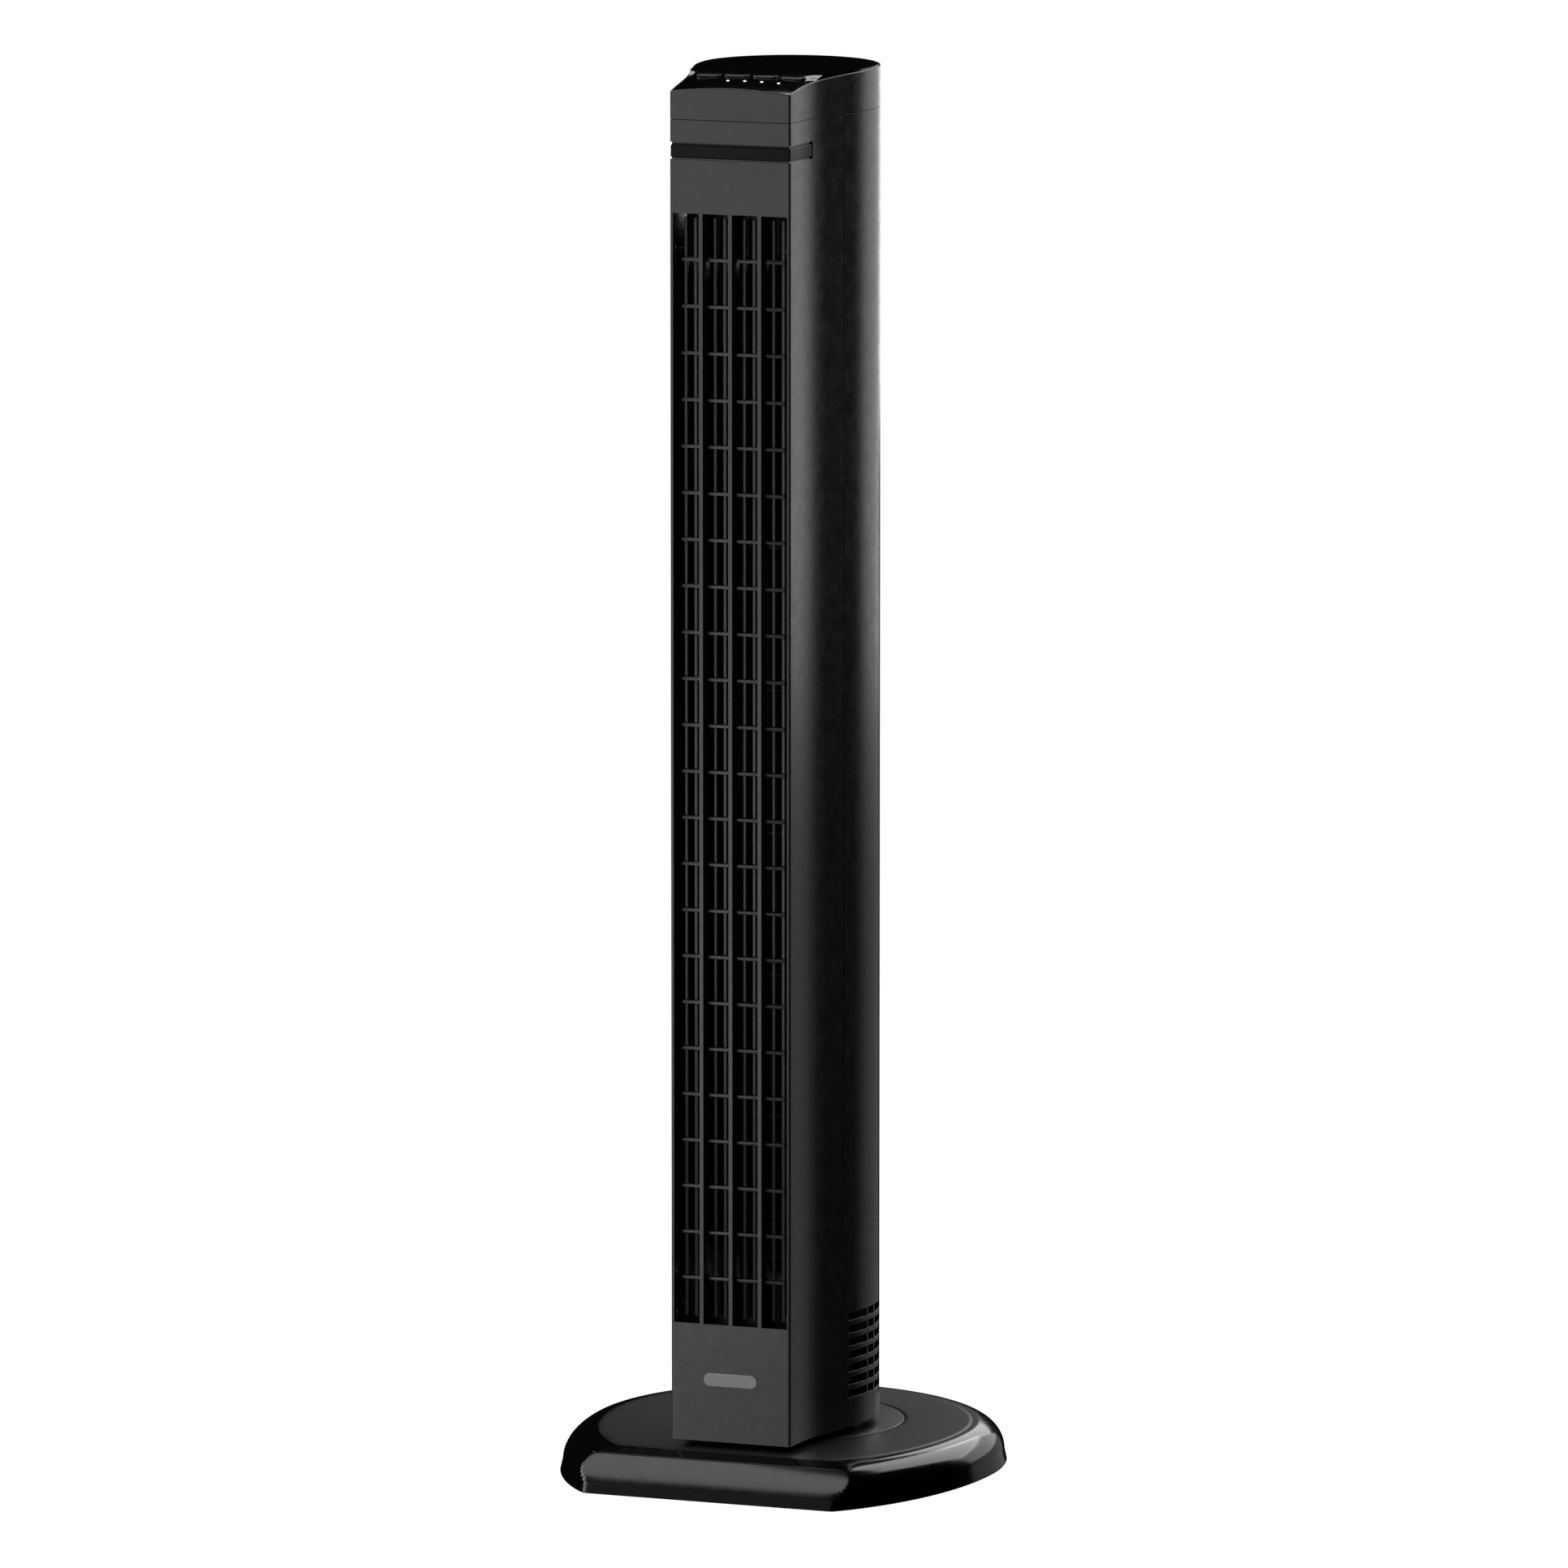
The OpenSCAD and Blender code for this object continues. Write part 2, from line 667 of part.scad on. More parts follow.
module badge_plate() {
    color([0.68, 0.68, 0.7]) on_axis() translate([0, -front_y, 75]) rotate([90, 0, 0])
        stadium(38, 9, 0, 0.5);
}

// ---------- air path ----------

// Points of a wall between two curves
function arc_points(r0, r1, a0, a1, n) = [for (i = [0:n])
    let (t = i / n, r = r0 + (r1 - r0) * t, a = a0 + (a1 - a0) * t) [r * cos(a), imp_y + r * sin(a)]];

air_z0 = 124;
air_z1 = 832;

module air_scroll() {
    t = 1.6;
    spiral = arc_points(45.6, 48.5, 128, 205, 10);
    skin = arc_points(45.6 + t, 48.5 + t, 128, 205, 10);
    color(dark) on_axis() prism(concat(spiral, [[-39.5, -75], [-38.6, -100]],
        [[-38.6 - t, -100], [-39.5 - t, -75]], [for (i = [10:-1:0]) skin[i]]), air_z0, air_z1);
}

module air_tongue() {
    t = 1.6;
    color(dark) on_axis() prism([[38.6, -100], [38.6 + t, -100], [38.6 + t, -66], [33.9, -45], [37, -42.2],
        [50, -44.6], [50, -44.6 + t], [36.6, -40.4], [31.3, -43.6], [38.6, -66.4]], air_z0, air_z1);
}

module baffle(z0, z1) {
    // A bowed plate across the duct beyond the impeller's end
    color(dark) on_axis() translate([0, 40, z0]) difference() {
        intersection() {
            cylinder(r = 142, h = z1 - z0);
            translate([-38.4, -160, -1]) cube([76.8, 50, z1 - z0 + 2]);
        }
        translate([0, 0, -1]) cylinder(r = 140.2, h = z1 - z0 + 2);
    }
}

module upper_baffle() { baffle(827.5, 866); }
module lower_baffle() { baffle(104, 141.5); }

// ---------- impeller and motor ----------

module impeller() {
    pitch = (imp_z1 - imp_z0 - disc_t) / sections;
    chord = 11;
    color(dark) on_axis() translate([0, imp_y, 0]) {
        for (i = [0:sections]) translate([0, 0, imp_z0 + i * pitch])
            tube(impeller_r, i == 0 ? 10 : i == sections ? stub_r : 24, 0, disc_t);
        for (i = [0:blades - 1]) rotate([0, 0, i * 360 / blades])
            translate([impeller_r - 0.6, 0, imp_z0 + 0.5]) rotate([0, 0, 152])
                blade(chord, imp_z1 - imp_z0 - 1);
        tube(8, stub_r, imp_z1 - 0.1, imp_z1 + 5);
    }
}

// A thin curved blade from the origin along +X
module blade(chord, h) {
    bow = 12;
    linear_extrude(h) intersection() {
        translate([chord / 2, -sqrt(bow * bow - chord * chord / 4)]) difference() {
            circle(bow + 0.45);
            circle(bow - 0.45);
        }
        translate([0, -1]) square([chord, 6]);
    }
}

module top_shaft() {
    color(steel) on_axis() translate([0, imp_y, 0]) disc(stub_r, imp_z1 - disc_t, bracket_z + 9);
}

module hub_grommet() {
    color(rubber) on_axis() translate([0, imp_y, 0]) difference() {
        union() {
            disc(10, imp_z0, imp_z0 + disc_t);
            disc(12, imp_z0 - 5, imp_z0);
            disc(12, imp_z0 + disc_t, imp_z0 + disc_t + 5);
        }
        disc(shaft_r, imp_z0 - 10, imp_z0 + 20);
    }
}

module rotor() {
    color(steel) on_axis() translate([0, imp_y, 0]) {
        disc(shaft_r, motor_z0 - 4, imp_z0 + 10);
        disc(18, motor_z0 + 8, motor_z1 - 8);
    }
}

module motor_case() {
    color(steel) on_axis() translate([0, imp_y, 0]) difference() {
        union() {
            disc(motor_r, motor_z0, motor_z1);
            disc(12, motor_z1 - 0.5, plate_z - 0.2);
            tube(motor_r + 6, motor_r - 1, motor_z1 - 3, motor_z1);
        }
        disc(motor_r - 1.6, motor_z0 + 1.6, motor_z1 - 1.6);
        disc(shaft_r + run_fit, motor_z0 - 5, plate_z + 5);
        for (a = [0:45:315]) rotate([0, 0, a]) translate([24, 0, motor_z0 - 2]) cylinder(r = 3, h = 5);
        for (p = motor_screw_spots) translate([p[0], p[1] - imp_y, 100]) cylinder(r = 1.5, h = 30);
    }
}

module motor_stator() {
    color([0.45, 0.3, 0.2]) on_axis() translate([0, imp_y, 0])
        tube(motor_r - 1.6, 18.5, motor_z0 + 7, motor_z1 - 7);
}

motor_screw_spots = [for (a = [45:90:315]) (motor_r + 3.3) * [cos(a), sin(a)] + [0, imp_y]];

module motor_plate() {
    color(dark) on_axis() difference() {
        union() {
            prism(tower_outline(wall + 0.2), plate_z, plate_z + 2.5);
            for (p = motor_screw_spots) translate(p) disc(4, motor_z1, plate_z + 0.1);
        }
        translate([0, imp_y, 0]) disc(13, 100, 130);
        for (p = motor_screw_spots) translate(p) disc(1.5, 100, 130);
        block([-38.6, -130, 100], [38.6, -front_y + 30, 130]);
    }
}

module motor_screws() {
    color(steel) on_axis() for (p = motor_screw_spots)
        translate([p[0], p[1], motor_z1 - 3]) screw(1.5, 8, 3, 2);
}

module run_capacitor() {
    color([0.2, 0.2, 0.22]) on_axis() block([-17, -98, 80], [17, -84, 104]);
}

module top_bracket() {
    color(dark) on_axis() difference() {
        union() {
            prism(tower_outline(wall + 0.2), bracket_z, bracket_z + 2.5);
            translate([0, imp_y, 0]) disc(14, bracket_z, bracket_z + 8);
        }
        translate([0, imp_y, 0]) disc(9, bracket_z - 5, bracket_z + 20);
        block([-38.6, -130, 800], [38.6, -front_y + 30, 850]);
        intake_sector(56.3, 70, 800, 860, 22);
    }
}

module bush_mount() {
    color(rubber) on_axis() translate([0, imp_y, 0]) tube(9, 5.5, bracket_z, bracket_z + 8);
}

module top_bush() {
    color([0.75, 0.6, 0.3]) on_axis() translate([0, imp_y, 0])
        tube(5.5, stub_r + run_fit, bracket_z, bracket_z + 8);
}

// ---------- swing drive ----------

module drive_bracket() {
    color(steel) on_axis() difference() {
        prism([[-38, -72], [38, -72], [50, 14], [-50, 14]], drive_plate_z, drive_plate_z + 1.5);
        disc(post_r + 3, 0, 90);
        translate([0, drive_y, 0]) disc(6, 0, 90);
        for (p = bracket_posts) translate(p) disc(1.6, 0, 90);
    }
}

module swing_motor() {
    color(steel) on_axis() {
        translate([0, drive_y - 8, 0]) disc(24, drive_plate_z + 1.5, drive_plate_z + 19);
        translate([0, drive_y, 0]) disc(3, gear_z0 - 1, drive_plate_z + 2);
    }
}

module pinion() {
    color(white_resin) on_axis() translate([0, drive_y, 0])
        spur(pinion_teeth, gear_z0 - 0.5, gear_z1 + 0.5, 90 + 180 / pinion_teeth, 3 + run_fit);
}

module housing_screws() {
    color(steel) on_axis() for (p = bracket_posts)
        translate([p[0], p[1], drive_plate_z + 1.5]) mirror([0, 0, 1]) screw(1.6, 9, 3.2, 2);
}

base_front();
base_rear();
plateau_front();
plateau_rear();
rubber_feet();
base_screws();
pivot_post();
post_screws();
bearing_ring();
retaining_collar();
fixed_gear();
lead_gland();
turntable_disc();
neck();
tower_bottom();
front_housing();
rear_housing();
outlet_grille();
intake_grille();
trim_strip();
top_cap();
rear_cap_panel();
control_deck();
badge_plate();
lamp_lenses();
control_board();
switches();
air_scroll();
air_tongue();
upper_baffle();
lower_baffle();
top_bracket();
bush_mount();
top_bush();
motor_plate();
motor_case();
motor_stator();
motor_screws();
run_capacitor();
drive_bracket();
swing_motor();
housing_screws();
impeller();
rotor();
hub_grommet();
top_shaft();
pinion();
button_1();
button_2();
button_3();
button_4();
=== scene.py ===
# The looks of the tower fan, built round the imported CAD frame.
# Sizes are in millimetres, measured from the swing axis: +X right, +Y back, +Z up from the floor.
import json
import math

import bmesh
import bpy
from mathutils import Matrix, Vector


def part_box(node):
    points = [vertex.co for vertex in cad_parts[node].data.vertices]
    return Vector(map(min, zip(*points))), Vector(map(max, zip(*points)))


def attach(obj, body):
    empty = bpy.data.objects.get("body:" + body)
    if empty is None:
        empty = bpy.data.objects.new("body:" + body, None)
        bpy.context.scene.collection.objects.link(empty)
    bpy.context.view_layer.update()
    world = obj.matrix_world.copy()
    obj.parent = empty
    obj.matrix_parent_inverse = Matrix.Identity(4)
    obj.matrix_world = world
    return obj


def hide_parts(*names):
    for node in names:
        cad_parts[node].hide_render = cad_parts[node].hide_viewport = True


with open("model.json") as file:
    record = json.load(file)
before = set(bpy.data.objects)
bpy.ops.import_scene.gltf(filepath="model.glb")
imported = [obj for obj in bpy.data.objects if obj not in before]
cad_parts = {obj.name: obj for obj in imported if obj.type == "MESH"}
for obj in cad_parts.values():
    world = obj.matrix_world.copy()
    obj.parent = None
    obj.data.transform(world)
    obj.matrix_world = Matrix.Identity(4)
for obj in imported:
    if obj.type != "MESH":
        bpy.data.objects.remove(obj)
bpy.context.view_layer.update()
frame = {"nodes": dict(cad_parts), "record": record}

MM = 0.001
post_low, post_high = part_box("pivot_post")
AXIS_Y = (post_low.y + post_high.y) / 2


def place(x, y, z):
    return Vector((x * MM, y * MM + AXIS_Y, z * MM))


# ---------- camera ----------

CAMERA_AZIMUTH = math.radians(20.441)
CAMERA_ELEVATION = math.radians(8.694)
CAMERA_DISTANCE = 9038.07
CAMERA_AIM = (-5.17, -1.93, 461.6)
CAMERA_LENS = 308.87


def direction(azimuth, elevation):
    """Unit vector that leaves the fan at an azimuth from the front towards +X, in radians."""
    flat = math.cos(elevation)
    return Vector((math.sin(azimuth) * flat, -math.cos(azimuth) * flat, math.sin(elevation)))


def make_camera():
    data = bpy.data.cameras.new("camera")
    data.lens = CAMERA_LENS
    data.sensor_width = 36
    data.clip_end = 100
    camera = bpy.data.objects.new("camera", data)
    bpy.context.scene.collection.objects.link(camera)
    back = direction(CAMERA_AZIMUTH, CAMERA_ELEVATION)
    camera.location = place(*CAMERA_AIM) + back * CAMERA_DISTANCE * MM
    camera.rotation_euler = back.to_track_quat("Z", "Y").to_euler()
    bpy.context.scene.camera = camera


make_camera()

# ---------- sizes shared with the CAD ----------

BASE_R = 147.4
BASE_STRETCH = 1.335
TOP_STRETCH = 1.25
BASE_CUT = 157
ROUND_Y = -6
PLATEAU_Z = 28.05
SKIRT_H = 8.6
SKIRT_IN = 1.6
RIM_IN = 21.9
FOOT_H = 1
FRONT_SKIRT_Z = 8
LEDGE_Z = 24.2
LEDGE_Y = 133
SKIRT_FRONT_IN = 4.2
TOP_CUT = 123.7
SLOPE_BULGE = 3
LEDGE_NOTCH = 0.6
SEAM_SCREW_X = 104
SCREW_POSTS = ((-70, -118), (70, -118), (-118, -20), (118, -20), (-72, 92), (72, 92))
GROOVE = 1.1
PANEL_T = 2.2
TURNTABLE_R = 76.1
POST_R = 15
NECK_R = 48
PARTING = 0.1

FRONT_W = 84.7
FRONT_Y = 118
BACK_R = 61
BACK_Y = -6
FLANK_R = 120
FLANK_A = math.radians(15.5)
BEND_R = 160
FLARE_A = math.atan(0.0473)
PART_Y = -47
WALL = 2
CAP_WALL = 1.2
SEAM_GAP = 0.2
TOWER_Z = 32.8
SEAM_Z = 919.9

RIM_Z = 938.6
RIM_RISE = 9.1
RIM_LENGTH = 40
CROWN = 2.9
CROWN_LENGTH = 60
DECK_Z = 934
REAR_DECK_Z = 947.9
STEP_Y = (-85, -64)
STEP_END = 35
CAP_EDGE = 946.8
CAP_SWEEP = 19
STRIP_Z = (894.3, 904.2)
STRIP_Y = -83

WINDOW_W = 80.4
WINDOW_Z = (112.5, 857.8)
FIN_W = 2.8
FIN_X = (-20.65, 0, 20.65)
FIN_DEPTH = 15
BAR_W = 2.3
BAR_PITCH = 6.883
BAR_DEPTH = 8.7
BARS = 11
CROSS_DEPTH = 5.5
CROSS_Z = 142.5
CROSS_PITCH = 31.1
CROSS_BARS = 23

BUTTONS = 4
BUTTON_Y = -78
BUTTON_PITCH = 20
BUTTON_W = 17
BUTTON_D = 5.4
BUTTON_H = 15.8
BUTTON_RISE = 0.7
DECK_TILT = math.radians(9)
LAMP_X = 7.7
LAMP_Y = -94.6
LAMP_PITCH = 11.9
LAMP_HOLE_R = 1.1
BADGE = (38, 9, 0.5, 75)

# ---------- outlines ----------


def side_in(z):
    """Inset of the base's rim at height z."""
    if z < SKIRT_H:
        return SKIRT_IN * (z - FOOT_H) / (SKIRT_H - FOOT_H)
    t = min(1, (z - SKIRT_H) / (PLATEAU_Z - SKIRT_H))
    return SKIRT_IN + (RIM_IN - SKIRT_IN) * (1 - math.sqrt(1 - t * t))


def cut_at(z):
    """Distance of the cut front ahead of the base's round centre at height z, notched finely at the ledge."""
    if z < FRONT_SKIRT_Z:
        return BASE_CUT - SKIRT_FRONT_IN * (z - FOOT_H) / (FRONT_SKIRT_Z - FOOT_H)
    foot = BASE_CUT - SKIRT_FRONT_IN
    if abs(z - LEDGE_Z) < 0.01:
        return LEDGE_Y - LEDGE_NOTCH
    if z < LEDGE_Z:
        t = (z - FRONT_SKIRT_Z) / (LEDGE_Z - FRONT_SKIRT_Z)
        return foot + (LEDGE_Y - foot) * t + SLOPE_BULGE * t * (1 - t)
    return LEDGE_Y + (TOP_CUT - LEDGE_Y) * (z - LEDGE_Z) / (PLATEAU_Z - LEDGE_Z)


def base_at(a, z, soft=2.5):
    """Radius of the base in direction a at height z. Its front corners are eased by the length soft."""
    inset = side_in(z)
    r = BASE_R - inset
    k = BASE_STRETCH + (TOP_STRETCH - BASE_STRETCH) * inset / RIM_IN
    if math.sin(a) >= 0:
        return r
    side = r / math.hypot(math.cos(a), math.sin(a) / k)
    if math.sin(a) > -0.2:
        return side
    cut = cut_at(z) / -math.sin(a)
    return (side + cut - math.hypot(side - cut, soft)) / 2 + soft * soft / (4 * (abs(side - cut) + soft))


def base_point(a, z, inset=0.0):
    r = base_at(a, z) - inset
    return (r * math.cos(a), ROUND_Y + r * math.sin(a), z)


def base_directions(step=2.0, corner=60.2):
    """Directions round the base, closer together at its two front corners."""
    corners = (180 + corner, 360 - corner)
    coarse = [step * i for i in range(int(360 / step))]
    fine = [c + 0.2 * i for c in corners for i in range(-24, 25)]
    kept = [a for a in coarse if all(abs(a - c) > 5.2 for c in corners)]
    return [math.radians(a) for a in sorted(kept + fine)]


FLANK_Y = BACK_Y - FLANK_R * math.sin(FLANK_A)
FLANK_X = BACK_R - FLANK_R * (1 - math.cos(FLANK_A))
FLARE = math.tan(FLARE_A)
SLOPE = math.tan(FLANK_A)
CROSS_Y = (FRONT_W / 2 + FLARE * FRONT_Y - FLANK_X + FLANK_Y * SLOPE) / (SLOPE - FLARE)
BEND_T = BEND_R * math.tan((FLANK_A - FLARE_A) / 2)
BEND_Y0 = CROSS_Y - BEND_T * math.cos(FLARE_A)
BEND_Y1 = CROSS_Y + BEND_T * math.cos(FLANK_A)
BEND_X = FRONT_W / 2 + FLARE * (BEND_Y0 + FRONT_Y) + BEND_R * math.cos(FLARE_A)
BEND_Y = BEND_Y0 - BEND_R * math.sin(FLARE_A)


def half_w(y, d=0.0):
    """Half width of the tower at y, inset by d: flare, hollow bend, straight flank, arc and round back."""
    if y >= BACK_Y:
        return math.sqrt(max(0.0, (BACK_R - d) ** 2 - (y - BACK_Y) ** 2))
    if y >= FLANK_Y:
        return BACK_R - FLANK_R + math.sqrt((FLANK_R - d) ** 2 - (y - BACK_Y) ** 2)
    if y >= BEND_Y1:
        return FLANK_X + (y - FLANK_Y) * SLOPE - d / math.cos(FLANK_A)
    if y >= BEND_Y0:
        return BEND_X - math.sqrt((BEND_R + d) ** 2 - (y - BEND_Y) ** 2)
    return FRONT_W / 2 + FLARE * (y + FRONT_Y) - d / math.cos(FLARE_A)


def rim_at(x, y):
    """Height of the cap's rim: it rises from the front corners to the back and bows up in front."""
    ahead = y + FRONT_Y
    across = min(1, abs(x) / max(half_w(y), 1))
    rise = RIM_RISE * (1 - math.exp(-ahead / RIM_LENGTH))
    return RIM_Z + rise + CROWN * (1 - across ** 2) * math.exp(-ahead / CROWN_LENGTH)


def smooth(t):
    """Eases from 0 to 1."""
    t = max(0.0, min(1.0, t))
    return t * t * (3 - 2 * t)


def deck_at(x, y):
    """Height of the control deck: along the rim in front, then up a soft step to a level rear part."""
    front = STEP_Y[0] + 6 * smooth((abs(x) - STEP_END) / 9)
    step = smooth((y - front) / (STEP_Y[1] - front))
    return (rim_at(x, y) - 0.2) * (1 - step) + REAR_DECK_Z * step


def cap_edge(y):
    """Upper edge of the rear cap panel."""
    return CAP_EDGE - CAP_SWEEP * math.exp(-(y - PART_Y) / 10)


CORNER = 1.2
CORNER_Y = CORNER - FRONT_Y
CORNER_X = half_w(CORNER_Y) - CORNER


def right_side(y0, y1, step=3.0):
    """Points along the right of the tower from y0 back to y1, with a small round corner in front."""
    points = []
    if y0 <= -FRONT_Y:
        points += [(CORNER_X + CORNER * math.sin(a), CORNER_Y - CORNER * math.cos(a))
                   for a in [math.radians(15 * i) for i in range(6)]]
        y0 = CORNER_Y
    end = min(y1, BACK_Y)
    n = max(1, round((end - y0) / step))
    points += [(half_w(y), y) for y in [y0 + (end - y0) * i / n for i in range(n + 1)]]
    if y1 > BACK_Y:
        top = math.asin(min(1, (y1 - BACK_Y) / BACK_R))
        n = max(1, round(math.degrees(top) / 3))
        points += [(BACK_R * math.cos(a), BACK_Y + BACK_R * math.sin(a))
                   for a in [top * (i + 1) / n for i in range(n)]]
    return points


def left_side(points):
    return [(-x, y) for x, y in reversed(points)]


def moved_in(x, y, d):
    """The outline's point (x, y), moved into the tower by d."""
    if y > BACK_Y:
        scale = (BACK_R - d) / BACK_R
        return (x * scale, BACK_Y + (y - BACK_Y) * scale)
    front = d - FRONT_Y
    if y >= CORNER_Y:
        back = max(y, front)
        return (math.copysign(half_w(back, d), x), back)
    inner_corner = half_w(max(front, CORNER_Y), d)
    if abs(x) <= CORNER_X:
        return (math.copysign(min(abs(x), inner_corner), x), front)
    if d >= CORNER:
        return (math.copysign(inner_corner, x), front)
    across = (abs(x) - CORNER_X) / CORNER * (CORNER - d)
    along = (y - CORNER_Y) / CORNER * (CORNER - d)
    return (math.copysign(CORNER_X + across, x), CORNER_Y + along)


# ---------- mesh helpers ----------


def publish(name, bm, body, slot, look=None, sharp=32, bevel=0.0):
    """Turns a bmesh into a finished piece: welded, smooth with sharp edges, riding on its body.

    It stands for the CAD node of its own name. look is its material, where that isn't its slot's own.
    """
    bmesh.ops.remove_doubles(bm, verts=bm.verts, dist=2e-6)
    bmesh.ops.dissolve_degenerate(bm, edges=bm.edges, dist=1e-6)
    loose = [v for v in bm.verts if not v.link_faces]
    bmesh.ops.delete(bm, geom=loose, context="VERTS")
    bmesh.ops.recalc_face_normals(bm, faces=bm.faces)
    mesh = bpy.data.meshes.new(name)
    bm.to_mesh(mesh)
    bm.free()
    mesh.shade_smooth()
    mesh.set_sharp_from_angle(angle=math.radians(sharp))
    piece = bpy.data.objects.new(name, mesh)
    bpy.context.scene.collection.objects.link(piece)
    if bevel:
        rounding = piece.modifiers.new("edges", "BEVEL")
        rounding.width = bevel * MM
        rounding.segments = 2
        rounding.limit_method = "ANGLE"
        rounding.angle_limit = math.radians(sharp)
        rounding.use_clamp_overlap = True
        rounding.harden_normals = True
    mesh.materials.append(MATERIALS[look or slot])
    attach(piece, body)
    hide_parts(name)
    return piece


def shell(bm, outer, inner, solid=None, closed=False):
    """A wall between two grids of points, as stations of rows, open right through where it isn't solid."""
    columns = len(outer)
    rows = len(outer[0])
    vo = [[bm.verts.new(place(*p)) for p in line] for line in outer]
    vi = [[bm.verts.new(place(*p)) for p in line] for line in inner]
    last = columns if closed else columns - 1
    cells = [(i, j) for i in range(last) for j in range(rows - 1) if solid is None or solid(i, j)]
    kept = set(cells)
    for i, j in cells:
        k = (i + 1) % columns
        before = (i - 1) % columns if closed else i - 1
        after = k if closed else i + 1
        bm.faces.new((vo[i][j], vo[k][j], vo[k][j + 1], vo[i][j + 1]))
        bm.faces.new((vi[i][j + 1], vi[k][j + 1], vi[k][j], vi[i][j]))
        sides = (((before, j), (i, j), (i, j + 1)), ((after, j), (k, j), (k, j + 1)),
                 ((i, j - 1), (i, j), (k, j)), ((i, j + 1), (i, j + 1), (k, j + 1)))
        for neighbour, (a, b), (c, e) in sides:
            if neighbour not in kept:
                bm.faces.new((vo[a][b], vo[c][e], vi[c][e], vi[a][b]))


def ring_stack(bm, rings):
    """A closed solid through rings of equal point counts, up the outside and back down the inside."""
    loops = [[bm.verts.new(place(*p)) for p in ring] for ring in rings]
    for i, loop in enumerate(loops):
        after = loops[(i + 1) % len(loops)]
        for j in range(len(loop)):
            k = (j + 1) % len(loop)
            bm.faces.new((loop[j], loop[k], after[k], after[j]))


def lathe(bm, profile, centre=(0, 0), steps=144):
    """A ring turned from a closed profile of (radius, height) points."""
    turns = [2 * math.pi * i / steps for i in range(steps)]
    ring_stack(bm, [[(centre[0] + r * math.cos(a), centre[1] + r * math.sin(a), z) for a in turns]
                    for r, z in profile])


def keep_half(bm, front, gap=PARTING):
    """Cuts a base piece at the parting line, keeps its front or rear half and closes the cut."""
    side = -1 if front else 1
    cut = bmesh.ops.bisect_plane(
        bm, geom=bm.verts[:] + bm.edges[:] + bm.faces[:], dist=1e-7,
        plane_co=place(0, side * gap, 0), plane_no=(0, -side, 0), clear_outer=True)
    edges = [g for g in cut["geom_cut"] if isinstance(g, bmesh.types.BMEdge)]
    bmesh.ops.holes_fill(bm, edges=edges, sides=0)


def join(bm, other):
    """Adds one bmesh to another."""
    carrier = bpy.data.meshes.new("carrier")
    other.to_mesh(carrier)
    other.free()
    bm.from_mesh(carrier)
    bpy.data.meshes.remove(carrier)


def box(bm, low, high, round_off=0.0):
    """A block between two corners, with its edges eased."""
    made = bmesh.ops.create_cube(bm, size=1.0)
    low = place(*low)
    high = place(*high)
    for v in made["verts"]:
        v.co = Vector([l + (h - l) * (c + 0.5) for l, h, c in zip(low, high, v.co)])
    if round_off:
        edges = list({e for v in made["verts"] for e in v.link_edges})
        bmesh.ops.bevel(bm, geom=edges, offset=round_off * MM, segments=2, affect="EDGES", profile=0.5)


def fillet(x, z, r, a0, a1, n=4):
    """Points of a quarter round about (x, z), from angle a0 to a1 in degrees."""
    return [(x + r * math.cos(a), z + r * math.sin(a))
            for a in [math.radians(a0 + (a1 - a0) * i / n) for i in range(n + 1)]]


def stadium_points(w, d, inset, n=12):
    """Loop of points round a bar with round ends."""
    r = max(d / 2 - inset, 0.0)
    half = (w - d) / 2
    right = [(half + r * math.cos(a), r * math.sin(a))
             for a in [math.radians(-90 + 180 * i / n) for i in range(n + 1)]]
    return right + [(-x, -y) for x, y in right]


# ---------- materials ----------


def node(tree, kind, **settings):
    made = tree.nodes.new(kind)
    for key, value in settings.items():
        setattr(made, key, value)
    return made


def new_material(name):
    """An empty node material. Returns the material, its tree and its shader."""
    material = bpy.data.materials.new(name)
    material.use_nodes = True
    tree = material.node_tree
    tree.nodes.clear()
    shader = node(tree, "ShaderNodeBsdfPrincipled")
    output = node(tree, "ShaderNodeOutputMaterial")
    tree.links.new(shader.outputs["BSDF"], output.inputs["Surface"])
    return material, tree, shader


def noise(tree, size_mm, detail=2.0, stretch=(1, 1, 1)):
    """Noise with features of about size_mm, in the object's own coordinates."""
    where = node(tree, "ShaderNodeTexCoord")
    scale = node(tree, "ShaderNodeMapping")
    scale.inputs["Scale"].default_value = [s / (size_mm * MM) for s in stretch]
    made = node(tree, "ShaderNodeTexNoise")
    made.inputs["Scale"].default_value = 1.0
    made.inputs["Detail"].default_value = detail
    tree.links.new(where.outputs["Object"], scale.inputs["Vector"])
    tree.links.new(scale.outputs["Vector"], made.inputs["Vector"])
    return made.outputs["Fac"]


def ramp(tree, value, low, high):
    """Maps noise onto a range of numbers."""
    made = node(tree, "ShaderNodeMapRange")
    made.inputs["From Min"].default_value = 0.3
    made.inputs["From Max"].default_value = 0.7
    made.inputs["To Min"].default_value = low
    made.inputs["To Max"].default_value = high
    tree.links.new(value, made.inputs["Value"])
    return made.outputs["Result"]


def tint(tree, value, dark, light):
    """Maps noise onto a range of colours."""
    made = node(tree, "ShaderNodeMix", data_type="RGBA")
    made.inputs["A"].default_value = (*dark, 1)
    made.inputs["B"].default_value = (*light, 1)
    tree.links.new(value, made.inputs["Factor"])
    return made.outputs["Result"]


def bump(tree, shader, value, height_mm):
    """Raises the surface by up to height_mm where the value is high."""
    made = node(tree, "ShaderNodeBump")
    made.inputs["Distance"].default_value = height_mm * MM
    made.inputs["Strength"].default_value = 1.0
    tree.links.new(value, made.inputs["Height"])
    tree.links.new(made.outputs["Normal"], shader.inputs["Normal"])


